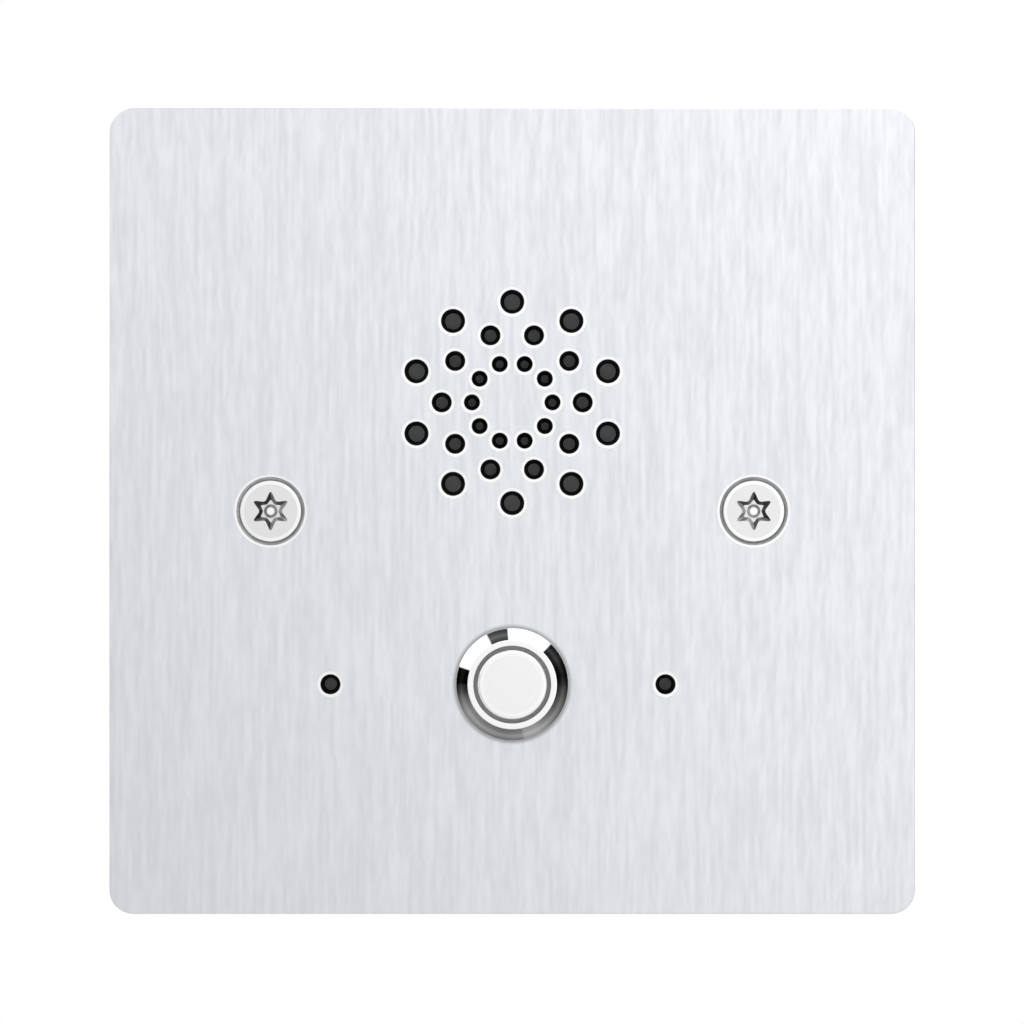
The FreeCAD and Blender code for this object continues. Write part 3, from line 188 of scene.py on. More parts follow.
class HousingSizes(bpy.types.PropertyGroup):
    """Sizes of the pieces seen from behind"""
    edge: length("Moulded edge", "Rounding of the housing's edges", 0.00025)
    jack_edge: length("Jack edge", "Rounding of the network jack's edges", 0.00015)
    gasket_edge: length("Gasket edge", "Rounding of the gasket's edges", 0.0002)
    screw_head: length("Screw head", "Diameter of the housing screws' heads", 0.0056)
    screw_head_height: length("Head height", "Height of the housing screws' heads", 0.0018)
    screw_thread: length("Screw thread", "Outer diameter of the housing screws", 0.003)
    screw_root: length("Screw root", "Diameter at the bottom of their thread", 0.0024)
    screw_pitch: length("Screw pitch", "Pitch of their thread", 0.0005)
    thread_end: length("Thread end", "How far their thread stays clear of both its ends", 0.0001)
    chamfer: length("End chamfer", "Chamfer at the screws' ends", 0.0003)
    socket: length("Socket", "Across the flats of the hexagon socket", 0.002)
    socket_depth: length("Socket depth", "Depth of the hexagon socket", 0.0012)


class PanelColours(bpy.types.PropertyGroup):
    """Colours of the finishes"""
    plate: colour("Plate", "Brushed stainless steel", (0.775, 0.784, 0.815))
    # Lighter than the plate's colour: a painted highlight on the deburred edges and screw head edges.
    rim: colour("Rims", "Bright deburred edges", (0.95, 0.95, 0.955))
    hole_wall: colour("Hole walls", "Laser cut walls of the holes", (0.008, 0.008, 0.009))
    # Darker than the plate's colour: painted shade in the countersinks.
    countersink: colour("Countersinks", "Turned cones under the screw heads", (0.45, 0.45, 0.455))
    screw: colour("Screws", "Satin screw heads", (0.80, 0.80, 0.795))
    recess: colour("Recess walls", "Walls of the drive recess in the shade", (0.03, 0.03, 0.03))
    bezel: colour("Bezel", "Mirror polished bezel", (0.98, 0.98, 0.98))
    groove: colour("Groove", "Shaded gap round the cap", (0.58, 0.58, 0.58))
    cap: colour("Cap", "Satin face of the cap", (0.92, 0.92, 0.92))
    cloth: colour("Cloth", "Acoustic cloth", (0.36, 0.36, 0.365))
    plastic: colour("Plastic", "Black textured moulding", (0.030, 0.030, 0.032))
    rubber: colour("Rubber", "Black rubber", (0.028, 0.028, 0.028))
    zinc: colour("Zinc", "Bright zinc plate", (0.72, 0.73, 0.75))


class StudioSettings(bpy.types.PropertyGroup):
    """Camera, floor and reflecting cards"""
    distance: length("Camera distance", "From the plate's front to the camera", 1.2)
    field: length("Field width", "Width seen at the plate's front", 0.12713)
    floor_drop: length("Floor drop", "From the panel's middle down to the floor", 0.15)
    floor_radius: length("Floor radius", "Radius of the round floor", 1.3)
    card_radius: length("Card radius", "Radius of the ring of cards round the button", 0.12)
    card_width: length("Card width", "Width of that ring along Y", 0.03)
    line_width: length("Card line", "Half the width of the lighter line along the cards", 0.0005)
    shade_distance: length("Graded card", "From the plate to the graded card before it", 0.30)
    shade_size: length("Graded card size", "Side of the graded card", 0.60)


# Shader nodes

def wire(tree, source, target):
    """Joins an output to an input, or sets the input where the source is a plain value."""
    if isinstance(source, bpy.types.NodeSocket):
        tree.links.new(source, target)
    else:
        target.default_value = source


def add(tree, kind, inputs=None, **settings):
    """A shader node with its settings made and its inputs joined or set."""
    node = tree.nodes.new("ShaderNode" + kind)
    for name, value in settings.items():
        setattr(node, name, value)
    for name, source in (inputs or {}).items():
        wire(tree, source, node.inputs[name])
    return node


def calculate(tree, operation, first, second=0.0):
    """The result of a Math node."""
    return add(tree, "Math", {0: first, 1: second}, operation=operation).outputs[0]


def rescale(tree, value, low, high):
    """A pattern from 0 to 1 brought to the range from low to high."""
    return add(tree, "MapRange", {"Value": value, "To Min": low, "To Max": high}).outputs["Result"]


def contrast(tree, value, low, high):
    """A value spread so that low becomes 0 and high becomes 1."""
    return add(tree, "MapRange", {"Value": value, "From Min": low, "From Max": high}).outputs["Result"]


def wave(tree, value):
    """A sine that repeats once for each whole number."""
    return calculate(tree, "SINE", calculate(tree, "MULTIPLY", value, FULL_TURN))


def vector_math(tree, operation, first, second):
    """The vector that a Vector Math node makes."""
    return add(tree, "VectorMath", {0: first, 1: second}, operation=operation).outputs[0]


def distance(tree, vector):
    """The length of a vector."""
    return add(tree, "VectorMath", {0: vector}, operation="LENGTH").outputs["Value"]


def own_place(tree):
    """The shaded point in Object coordinates."""
    return add(tree, "TexCoord").outputs["Object"]


def parts_of(tree, place):
    """The X, Y and Z of a place."""
    return add(tree, "SeparateXYZ", {0: place}).outputs


def noise(tree, place, scale, detail, roughness=0.5):
    """Smooth noise from 0 to 1."""
    inputs = {"Vector": place, "Scale": scale, "Detail": detail, "Roughness": roughness}
    return add(tree, "TexNoise", inputs).outputs["Fac"]


def weighted_sum(tree, *parts):
    """The sum of (value, weight) pairs."""
    total = 0.0
    for value, weight in parts:
        total = calculate(tree, "ADD", calculate(tree, "MULTIPLY", value, weight), total)
    return total


def brushed_pattern(group, place):
    """Strokes of uneven length and strength, as an abrasive belt leaves them."""
    shorter = vector_math(group, "MULTIPLY", place, (1.25, 1.25, 3.2))
    strokes = noise(group, place, scale=1.0, detail=0.0)
    flecks = noise(group, shorter, scale=1.0, detail=0.0)
    patches = noise(group, place, scale=0.3, detail=0.0)
    total = weighted_sum(group, (strokes, 0.58), (flecks, 0.37), (patches, 0.05))
    return contrast(group, total, 0.3, 0.7)


def moulded_pattern(group, place):
    """The pebbled skin of a spark eroded mould."""
    cells = add(group, "TexVoronoi", {"Vector": place, "Scale": 1.0}, feature="SMOOTH_F1")
    soft = noise(group, place, scale=0.6, detail=2.0)
    total = weighted_sum(group, (cells.outputs["Distance"], 0.6), (soft, 0.5))
    return contrast(group, total, 0.25, 0.75)


def woven_pattern(group, place):
    """A plain weave of threads along X and Z, seen from the front."""
    parts = parts_of(group, place)
    crossing = calculate(group, "MULTIPLY", wave(group, parts["X"]), wave(group, parts["Z"]))
    fuzz = noise(group, place, scale=2.5, detail=2.0)
    total = weighted_sum(group, (crossing, 0.35), (fuzz, 1.0))
    return contrast(group, total, 0.1, 0.9)


def reach_and_depth(tree, place):
    """The distance from the Y axis, and the place along it."""
    parts = parts_of(tree, place)
    flat = add(tree, "CombineXYZ", {"X": parts["X"], "Y": parts["Z"]})
    return distance(tree, flat.outputs[0]), parts["Y"]


def turned_pattern(group, place):
    """Rings round an axis along Y, as a lathe tool leaves them."""
    inputs = {"W": calculate(group, "ADD", *reach_and_depth(group, place)), "Scale": 1.0, "Detail": 2.0}
    rings = add(group, "TexNoise", inputs, noise_dimensions="1D")
    return contrast(group, rings.outputs["Fac"], 0.3, 0.7)


def cloudy_pattern(group, place):
    """Soft clouds with a fine grain, for platings, rubber and handling marks."""
    clouds = noise(group, place, scale=0.08, detail=3.0, roughness=0.6)
    grain = noise(group, place, scale=1.0, detail=2.0)
    total = weighted_sum(group, (clouds, 0.65), (grain, 0.35))
    return contrast(group, total, 0.3, 0.7)


def wound_pattern(group, place):
    """Even turns of wire round an axis along Y."""
    turns = wave(group, parts_of(group, place)["Y"])
    fuzz = noise(group, place, scale=0.5, detail=2.0)
    total = weighted_sum(group, (turns, 0.35), (fuzz, 1.0))
    return contrast(group, total, 0.1, 0.9)


PATTERNS = {
    "brushed": brushed_pattern,
    "moulded": moulded_pattern,
    "woven": woven_pattern,
    "turned": turned_pattern,
    "cloudy": cloudy_pattern,
    "wound": wound_pattern,
}


def pattern_group(kind):
    """The shader node group of a pattern on Object coordinates, built the first time it is asked for."""
    name = "pattern_" + kind
    group = bpy.data.node_groups.get(name)
    if group is None:
        group = bpy.data.node_groups.new(name, "ShaderNodeTree")
        sockets = group.interface
        size = sockets.new_socket("Repeats per metre", in_out="INPUT", socket_type="NodeSocketVector")
        size.default_value = (1000.0, 1000.0, 1000.0)
        sockets.new_socket("Centre", in_out="INPUT", socket_type="NodeSocketVector")
        sockets.new_socket("Pattern", in_out="OUTPUT", socket_type="NodeSocketFloat")
        given = group.nodes.new("NodeGroupInput").outputs
        result = group.nodes.new("NodeGroupOutput")
        place = vector_math(group, "SUBTRACT", own_place(group), given["Centre"])
        place = vector_math(group, "MULTIPLY", place, given["Repeats per metre"])
        wire(group, PATTERNS[kind](group, place), result.inputs["Pattern"])
    return group


def use_pattern(tree, kind, repeats, centre):
    """A pattern placed in a material."""
    inputs = {"Repeats per metre": repeats, "Centre": centre}
    return add(tree, "Group", inputs, node_tree=pattern_group(kind)).outputs["Pattern"]


def mix_colours(tree, factor, first, second, blend="MIX"):
    """A colour that goes from the first to the second with a factor."""
    inputs = {0: factor, 6: first, 7: second}
    return add(tree, "Mix", inputs, data_type="RGBA", blend_type=blend).outputs[2]


def blend_colours(tree, factor, dark, light):
    """A colour that goes from dark to light with a factor."""
    return mix_colours(tree, factor, (*dark, 1.0), (*light, 1.0))


def shade(base, factor):
    """A colour made lighter or darker by a factor."""
    return tuple(min(1.0, channel * factor) for channel in base)


def finish_of(name, base, kind, repeats, tones, roughness, relief=0.0, metallic=0.0,
              centre=(0.0, 0.0, 0.0), coat=0.0, specular=0.5):
    """A material whose colour, roughness and fine relief follow one pattern, with its repeats per metre."""
    known = bpy.data.materials.get(name)
    if known is not None:
        return known
    if isinstance(repeats, float):
        repeats = (repeats, repeats, repeats)
    material = bpy.data.materials.new(name)
    material.use_nodes = True
    tree = material.node_tree
    shader = tree.nodes["Principled BSDF"]
    pattern = use_pattern(tree, kind, repeats, centre)
    dark, light = [shade(base, tone) for tone in tones]
    inputs = {
        "Base Color": blend_colours(tree, pattern, dark, light),
        "Roughness": rescale(tree, pattern, *roughness),
        "Metallic": metallic,
        "Coat Weight": coat,
        "Specular IOR Level": specular,
    }
    if relief:
        bump = add(tree, "Bump", {"Strength": 1.0, "Distance": relief, "Height": pattern})
        inputs["Normal"] = bump.outputs["Normal"]
    for socket, source in inputs.items():
        wire(tree, source, shader.inputs[socket])
    return material


def metal(name, base, kind, repeats, tones, roughness, **rest):
    """A bare metal, with its darkest and lightest tone and its least and greatest roughness."""
    return finish_of(name, base, kind, repeats, tones, roughness, metallic=1.0, **rest)


def brushed_plate(colours, centre, bezel):
    """Sheet with a vertical belt finish, calmer at the lower left, with a painted contact shadow round the
    bezel.
    """
    material = metal("brushed_plate", colours.plate, "brushed", (1600.0, 1600.0, 145.0), (0.918, 1.082),
                     (0.30, 0.38), relief=0.000004)
    tree = material.node_tree
    colour_input = tree.nodes["Principled BSDF"].inputs["Base Color"]
    place = own_place(tree)
    parts = parts_of(tree, place)
    calm = contrast(tree, calculate(tree, "ADD", parts["X"], parts["Z"]), *CALM_SIDES)
    strokes = mix_colours(tree, calm, colour_input.links[0].from_socket, (*colours.plate, 1.0))
    # Painted shadow: the plate's colour is darkened in a ring just outside the bezel.
    reach, _ = reach_and_depth(tree, vector_math(tree, "SUBTRACT", place, centre))
    outside_shadow = contrast(tree, reach, *[bezel * share for share in BEZEL_SHADOW_RING])
    bezel_shadow = blend_colours(tree, outside_shadow, BEZEL_SHADOW_TINT, (1.0, 1.0, 1.0))
    wire(tree, mix_colours(tree, 1.0, strokes, bezel_shadow, "MULTIPLY"), colour_input)
    return material


def mill_sheet(colours):
    """The plain back of the sheet."""
    return metal("mill_sheet", shade(colours.plate, 0.85), "cloudy", 900.0, (0.94, 1.03), (0.38, 0.5))


def bright_rim(colours):
    """Freshly cut metal at the edge of a hole, lighter than the sheet as a painted highlight."""
    return metal("bright_rim", colours.rim, "cloudy", 4000.0, (0.985, 1.02), (0.16, 0.26))


def hole_wall(colours):
    """Near black wall of a laser cut hole: part oxide, part painted shade inside the hole."""
    return finish_of("hole_wall", colours.hole_wall, "cloudy", (3000.0, 600.0, 3000.0), tones=(0.6, 1.4),
                     roughness=(0.6, 0.8), relief=0.000006, specular=0.12)


def countersink_cone(colours):
    """Turned cone under a screw head, darker than the sheet as painted shade under the head."""
    return metal("countersink_cone", colours.countersink, "cloudy", 900.0, (0.7, 1.35), (0.35, 0.5))


def screw_face(colours):
    """Satin face of a screw head."""
    return metal("screw_face", colours.screw, "cloudy", 3500.0, (0.97, 1.03), (0.28, 0.4))


def screw_edge(colours):
    """Polished edge of a screw head, lighter than its face as a painted highlight."""
    return metal("screw_edge", colours.rim, "cloudy", 3000.0, (0.98, 1.02), (0.3, 0.4))


def recess_wall(colours, step=0):
    """Wall of a drive recess in painted shade, from the darkest to the lightest."""
    return finish_of(f"recess_wall_{step}", shade(colours.recess, RECESS_STEPS[step]), "cloudy", 2500.0,
                     tones=(0.7, 1.3), roughness=(0.4, 0.55), metallic=0.6)


def mirror_bezel(colours):
    """Mirror polished steel with faint handling marks."""
    return metal("mirror_bezel", colours.bezel, "cloudy", 900.0, (0.985, 1.01), (0.012, 0.035))


def shaded_groove(colours):
    """Unpolished walls of the gap round the cap, darker as painted shade; the bezel's outer edge and the
    cap's side take it too.
    """
    return finish_of("shaded_groove", colours.groove, "cloudy", 1500.0, tones=(0.8, 1.2),
                     roughness=(0.45, 0.6), metallic=0.7)


def satin_cap(colours, centre):
    """Fine turned face of the cap."""
    return metal("satin_cap", colours.cap, "turned", 14000.0, (0.994, 1.006), (0.25, 0.29), centre=centre)


def bright_barrel(colours, centre):
    """Turned barrel behind the bezel."""
    return metal("bright_barrel", shade(colours.bezel, 0.8), "turned", 6000.0, (0.9, 1.05), (0.25, 0.4),
                 centre=centre)


def acoustic_cloth(colours):
    """Fine dark cloth behind the sound holes."""
    return finish_of("acoustic_cloth", colours.cloth, "woven", 3600.0, tones=(0.75, 1.25),
                     roughness=(0.8, 0.95), relief=0.00003)


def textured_plastic(colours):
    """Black moulding with a fine textured skin."""
    return finish_of("textured_plastic", colours.plastic, "moulded", 2600.0, tones=(0.85, 1.2),
                     roughness=(0.42, 0.58), relief=0.000022)


def smooth_plastic(name, base):
    """Moulding from a smooth mould."""
    return finish_of(name, base, "cloudy", 2200.0, tones=(0.9, 1.1), roughness=(0.3, 0.42),
                     relief=0.000002)


def black_rubber(colours):
    """Matt rubber with a bloom."""
    return finish_of("black_rubber", colours.rubber, "cloudy", 1800.0, tones=(0.8, 1.35),
                     roughness=(0.62, 0.8), relief=0.00001)


def closed_foam():
    """Closed cell foam."""
    return finish_of("closed_foam", (0.05, 0.05, 0.05), "moulded", 1800.0, tones=(0.6, 1.4),
                     roughness=(0.8, 0.95), relief=0.00008)


def pressed_paper():
    """Black cone paper."""
    return finish_of("pressed_paper", (0.07, 0.07, 0.068), "cloudy", 2600.0, tones=(0.75, 1.3),
                     roughness=(0.75, 0.9), relief=0.00003)


def zinc_plate(colours):
    """Bright zinc with its cloudy passivation."""
    return metal("zinc_plate", colours.zinc, "cloudy", 1400.0, (0.86, 1.06), (0.24, 0.42),
                 relief=0.000001)


def nickel_plate():
    """Nickel on the magnet."""
    return metal("nickel_plate", (0.70, 0.68, 0.65), "cloudy", 1100.0, (0.9, 1.05), (0.12, 0.22))


def spring_wire():
    """Bright drawn wire."""
    return metal("spring_wire", (0.60, 0.60, 0.61), "brushed", (5000.0, 800.0, 5000.0), (0.85, 1.08),
                 (0.25, 0.38))


def contact_plate():
    """Gold flashed brass contacts."""
    return metal("contact_plate", (0.86, 0.66, 0.33), "brushed", (3000.0, 3000.0, 700.0), (0.88, 1.08),
                 (0.2, 0.34))


def copper_winding():
    """Enamelled copper wire, wound."""
    return metal("copper_winding", (0.72, 0.38, 0.22), "wound", 7000.0, (0.55, 1.2), (0.2, 0.35),
                 relief=0.00005)


def satin_black_paint():
    """Stoved satin paint."""
    return finish_of("satin_black_paint", (0.04, 0.04, 0.04), "moulded", 1600.0, tones=(0.85, 1.2),
                     roughness=(0.36, 0.5), relief=0.00001)


def green_board():
    """Green solder mask over woven glass."""
    return finish_of("green_board", (0.02, 0.16, 0.06), "woven", 900.0, tones=(0.75, 1.3),
                     roughness=(0.24, 0.36), relief=0.000004, coat=0.4)


def drawn_can():
    """Drawn aluminium can."""
    return metal("drawn_can", (0.78, 0.78, 0.79), "brushed", (2600.0, 500.0, 2600.0), (0.9, 1.05),
                 (0.25, 0.4))


def node_finishes(colours):
    """The finish of each CAD node that stays as it is."""
    return {
        zinc_plate(colours): ("standoffs", "clamp_studs", "clamp_nuts", "speaker_clamps", "lock_washer",
                              "barrel_nut", "yoke", "pole_plate", "jack_shield"),
        black_rubber(colours): ("housing_seal", "button_seal", "plunger_seal", "microphone_boots"),
        acoustic_cloth(colours): ("speaker_cloth", "microphone_cloths", "speaker_surround"),
        textured_plastic(colours): ("switch_base", "terminal_strip"),
        smooth_plastic("component_body", (0.035, 0.035, 0.037)): ("processor", "amplifier",
                                                                  "network_transformer", "inductor"),
        closed_foam(): ("speaker_seal",),
        pressed_paper(): ("speaker_cone", "dust_cap"),
        satin_black_paint(): ("speaker_basket",),
        nickel_plate(): ("magnet",),
        copper_winding(): ("voice_coil",),
        contact_plate(): ("moving_contact", "contact_pins", "terminal_tags", "jack_contacts"),
        smooth_plastic("white_plunger", (0.80, 0.80, 0.78)): ("button_plunger",),
        smooth_plastic("grey_ribbon", (0.42, 0.42, 0.44)): ("speaker_lead",),
        green_board(): ("circuit_board",),
        drawn_can(): ("capacitors", "crystal", "microphone_capsules"),
    }


# Modelling

def quarter_turn(steps):
    """How far each step of a rounding has gone outwards and down, from 0 to 1."""
    for step in range(steps + 1):
        angle = math.radians(90 * step / steps)
        yield math.sin(angle), 1 - math.cos(angle)


def facing_caller(x, y, z):
    """The place of a flat shape that is drawn from the front."""
    return Matrix.Translation((x, y, z)) @ Matrix.Rotation(math.radians(90), 4, "X")


def each_once(items):
    """A list of the different items, in the order in which they first come."""
    return list(dict.fromkeys(items))


def loop_of(edges, sharp):
    """A fresh loop of edges, made hard unless they lie on a rounding."""
    for edge in edges:
        edge.smooth = not sharp
    return edges


def draw_circle(mesh, diameter, y, x=0.0, z=0.0, steps=96, sharp=True):
    """A round loop of edges parallel to the plate."""
    made = bmesh.ops.create_circle(mesh, cap_ends=False, segments=steps, radius=diameter / 2,
                                   matrix=facing_caller(x, y, z))
    return loop_of(each_once(edge for vert in made["verts"] for edge in vert.link_edges), sharp)


def draw_circles(mesh, *circles, x=0.0, z=0.0, steps=96):
    """Round loops one behind the other, from their (diameter, y) pairs."""
    return [draw_circle(mesh, diameter, y, x, z, steps) for diameter, y in circles]


def draw_rounding(mesh, inner, outer, y, drop, points, steps=96):
    """Round loops over the edge of a head, from its flat face outwards and back by the drop."""
    loops = []
    for outward, down in quarter_turn(points):
        diameter = inner + (outer - inner) * outward
        loops.append(draw_circle(mesh, diameter, y + drop * down, steps=steps, sharp=down == 0))
    return loops


def round_corners(mesh, verts, radius, steps):
    """Rounds the corners of a flat face."""
    bmesh.ops.bevel(mesh, geom=verts, offset=radius, offset_type="OFFSET", segments=steps, profile=0.5,
                    affect="VERTICES", material=-1)


def take_outline(mesh, sharp=True):
    """The outline of the mesh's only face, which is taken away."""
    face = mesh.faces[:][0]
    edges = loop_of(face.edges[:], sharp)
    bmesh.ops.delete(mesh, geom=[face], context="FACES_ONLY")
    return edges


def draw_rounded_square(mesh, side, corner, y, sharp=True, steps=16):
    """A loop of edges round a square with rounded corners, parallel to the plate."""
    made = bmesh.ops.create_grid(mesh, x_segments=1, y_segments=1, size=side / 2,
                                 matrix=facing_caller(0.0, y, 0.0))
    round_corners(mesh, made["verts"], corner, steps)
    return take_outline(mesh, sharp)


def draw_star(mesh, points, valleys, y, tip_radius, valley_radius):
    """A loop of edges round a six-pointed star with one point upward."""
    made = bmesh.ops.create_circle(mesh, cap_ends=True, segments=12, radius=points / 2,
                                   matrix=facing_caller(0.0, y, 0.0))
    tips = made["verts"][0::2]
    hollows = made["verts"][1::2]
    bmesh.ops.scale(mesh, vec=(valleys / points, 1.0, valleys / points), verts=hollows)
    round_corners(mesh, tips, tip_radius, steps=3)
    round_corners(mesh, hollows, valley_radius, steps=3)
    return take_outline(mesh)


def bridge(mesh, first, second, material=0):
    """A wall between two loops."""
    for face in bmesh.ops.bridge_loops(mesh, edges=first + second)["faces"]:
        face.material_index = material
        face.smooth = True


def join_loops(mesh, loops, *materials):
    """Walls from each loop to the next, with their material indexes, of which the last goes on."""
    for index, (first, second) in enumerate(zip(loops, loops[1:])):
        bridge(mesh, first, second, materials[min(index, len(materials) - 1)])


def fill(mesh, loops, material):
    """A flat face inside the first loop and outside the others."""
    edges = [edge for loop in loops for edge in loop]
    made = bmesh.ops.triangle_fill(mesh, use_beauty=True, use_dissolve=False, edges=edges,
                                   normal=(0.0, -1.0, 0.0))
    for item in made["geom"]:
        if isinstance(item, bmesh.types.BMFace):
            item.material_index = material


def spin_profile(mesh, corners, roundings, steps):
    """Turns an outline of (radius, y) corners about the Y axis, rounded by its (corner, radius) pairs."""
    verts = [mesh.verts.new((radius, y, 0.0)) for radius, y in corners]
    mesh.faces.new(verts)
    for index, radius in sorted(roundings, reverse=True):
        round_corners(mesh, [verts[index]], radius, steps=5)
    edges = take_outline(mesh, sharp=False)
    on_axis = [edge for edge in edges if all(abs(vert.co.x) < TOUCHING for vert in edge.verts)]
    edges = [edge for edge in edges if edge not in on_axis]
    bmesh.ops.delete(mesh, geom=on_axis, context="EDGES")
    points = each_once(vert for edge in edges for vert in edge.verts)
    bmesh.ops.spin(mesh, geom=points + edges, cent=(0.0, 0.0, 0.0), axis=(0.0, 1.0, 0.0), angle=FULL_TURN,
                   steps=steps, use_merge=True)
    bmesh.ops.remove_doubles(mesh, verts=mesh.verts, dist=TOUCHING)
    for face in mesh.faces:
        face.smooth = True


def harden(mesh, degrees=30.0):
    """Marks the edges that turn sharply as hard."""
    limit = math.radians(degrees)
    for edge in mesh.edges:
        if len(edge.link_faces) == 2 and edge.calc_face_angle(0.0) > limit:
            edge.smooth = False


def keep_flat(mesh, cosine=0.9999):
    """Marks the edges where a flat face across the Y axis ends as hard, so that it mirrors as a plane."""
    for edge in mesh.edges:
        flat = [abs(face.normal.y) > cosine for face in edge.link_faces]
        if len(set(flat)) == 2:
            edge.smooth = False


def reach_of(face):
    """How far the middle of a face lies from the Y axis."""
    middle = face.calc_center_median()
    return math.hypot(middle.x, middle.z)


def repeat_at(mesh, places):
    """Moves what the mesh holds to the first place, and adds a copy of it at each of the others."""
    whole = mesh.verts[:] + mesh.edges[:] + mesh.faces[:]
    original = mesh.verts[:]
    for place in places[1:]:
        made = bmesh.ops.duplicate(mesh, geom=whole)
        twins = [item for item in made["geom"] if isinstance(item, bmesh.types.BMVert)]
        bmesh.ops.translate(mesh, vec=place, verts=twins)
    bmesh.ops.translate(mesh, vec=places[0], verts=original)


def wind(mesh, section, turns, per_turn, rise):
    """Winds a cross-section round the Y axis, which moves it along by the rise."""
    steps = int(turns * per_turn)
    bmesh.ops.spin(mesh, geom=section, cent=(0.0, 0.0, 0.0), axis=(0.0, 1.0, 0.0), angle=FULL_TURN * turns,
                   steps=steps, dvec=(0.0, rise / steps, 0.0))


def wind_thread(mesh, root, outside, pitch, start, end):
    """A closed ridge wound round the Y axis, its foot sunk into the core."""
    turns = (end - start) / pitch - 1
    foot = pitch * THREAD_FOOT
    crest = pitch * THREAD_CREST
    middle = start + foot
    inside = root / 2 - THREAD_SUNK
    outline = [(inside, middle - foot), (outside / 2, middle - crest), (outside / 2, middle + crest),
               (inside, middle + foot)]
    ridge = mesh.faces.new([mesh.verts.new((radius, y, 0.0)) for radius, y in outline])
    wind(mesh, [ridge, *ridge.verts, *ridge.edges], turns, per_turn=28, rise=pitch * turns)


def object_of(name, mesh, materials):
    """A new object in the scene from a bmesh, which is freed."""
    data = bpy.data.meshes.new(name)
    mesh.to_mesh(data)
    mesh.free()
    for material in materials:
        data.materials.append(material)
    made = bpy.data.objects.new(name, data)
    bpy.context.scene.collection.objects.link(made)
    return made


def new_piece(name, mesh, materials, body, nodes):
    """A finished object that rides on a body in the place of some nodes."""
    bmesh.ops.recalc_face_normals(mesh, faces=mesh.faces)
    piece = object_of(name, mesh, materials)
    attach(piece, body)
    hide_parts(*nodes)
    return piece


def polished_piece(name, mesh, centre, materials, body, node):
    """A turned piece on the button's axis, its faces kept flat beside their small roundings."""
    bmesh.ops.translate(mesh, vec=centre, verts=mesh.verts)
    piece = new_piece(name, mesh, materials, body, [node])
    weigh = piece.modifiers.new("Weighted normals", "WEIGHTED_NORMAL")
    weigh.mode = "FACE_AREA"
    weigh.keep_sharp = True


def sound_holes(sizes):
    """(x, z, diameter) of each sound hole: the outer ring starts straight above the middle."""
    for radius, diameter, start in zip(sizes.rings, sizes.ring_diameters, sizes.ring_starts):
        for index in range(sizes.ring_holes):
            angle = FULL_TURN * (start + index / sizes.ring_holes)
            yield radius * math.cos(angle), sizes.speaker_height + radius * math.sin(angle), diameter


def draw_outlines(mesh, sizes):
    """Loops round the plate, from its front face over the rounded edge to its back."""
    side = PLATE_HIGH.x - PLATE_LOW.x
    loops = []
    for outward, down in quarter_turn(steps=6):
        inset = sizes.edge * (1 - outward)
        loops.append(draw_rounded_square(mesh, side - 2 * inset, sizes.corner - inset,
                                         PLATE_LOW.y + sizes.edge * down, sharp=down == 0))
    loops.append(draw_rounded_square(mesh, side, sizes.corner, PLATE_HIGH.y))
    return loops


def draw_hole(mesh, sizes, x, z, diameter):
    """Loops of a laser cut hole, from its deburred rim to the back of the plate."""
    return draw_circles(mesh, (diameter + 2 * sizes.rim_width, PLATE_LOW.y),
                        (diameter, PLATE_LOW.y + sizes.rim_depth),
                        (diameter - 2 * sizes.taper, PLATE_HIGH.y), x=x, z=z)


def draw_countersink(mesh, sizes, x):
    """Loops of a countersunk hole, from its deburred rim to the back of the plate."""
    start = PLATE_LOW.y + sizes.rim_depth
    end = start + (sizes.countersink - sizes.screw_hole) / 2
    return draw_circles(mesh, (sizes.countersink + 2 * sizes.cone_rim, PLATE_LOW.y),
                        (sizes.countersink, start), (sizes.screw_hole, end),
                        (sizes.screw_hole, PLATE_HIGH.y), x=x)


def make_faceplate(context):
    """The brushed plate with deburred holes and countersinks."""
    sizes = context.scene.faceplate_sizes
    colours = context.scene.panel_colours
    spacing = context.scene.screw_sizes.spacing
    sheet, rim, wall, cone, back = range(5)
    mesh = bmesh.new()
    outlines = draw_outlines(mesh, sizes)
    places = list(sound_holes(sizes))
    for side in (-1, 1):
        x = sizes.microphone_shift + side * sizes.microphone_spacing / 2
        places.append((x, sizes.lower_row, sizes.microphone_hole))
    holes = [draw_hole(mesh, sizes, *place) for place in places]
    button = draw_circles(mesh, (sizes.button_hole, PLATE_LOW.y), (sizes.button_hole, PLATE_HIGH.y),
                          z=sizes.lower_row)
    cones = [draw_countersink(mesh, sizes, side * spacing / 2) for side in (-1, 1)]
    join_loops(mesh, outlines, sheet)
    for loops in holes:
        join_loops(mesh, loops, rim, wall)
    join_loops(mesh, button, wall)
    for loops in cones:
        join_loops(mesh, loops, rim, cone)
    openings = [*holes, button, *cones]
    fill(mesh, [outlines[0]] + [loops[0] for loops in openings], sheet)
    fill(mesh, [outlines[-1]] + [loops[-1] for loops in openings], back)
    bezel = (BEZEL_HIGH.x - BEZEL_LOW.x) / 2
    materials = [brushed_plate(colours, button_centre(context), bezel), bright_rim(colours),
                 hole_wall(colours), countersink_cone(colours), mill_sheet(colours)]
    new_piece("brushed_faceplate", mesh, materials, "panel", ["faceplate"])


def shade_recesses(mesh, darkest):
    """Sorts the recess walls, now all of the darkest material, by how far they turn to the shaded way."""
    across, upward = SHADED_WAY
    bmesh.ops.recalc_face_normals(mesh, faces=mesh.faces)
    for face in mesh.faces:
        if face.material_index == darkest:
            inward = -math.copysign(1.0, face.calc_center_median().x)
            turned = inward * face.normal.x * across + face.normal.z * upward
            turned /= math.hypot(face.normal.x, face.normal.z)
            face.material_index = darkest + sum(turned < limit for limit in RECESS_LIMITS)


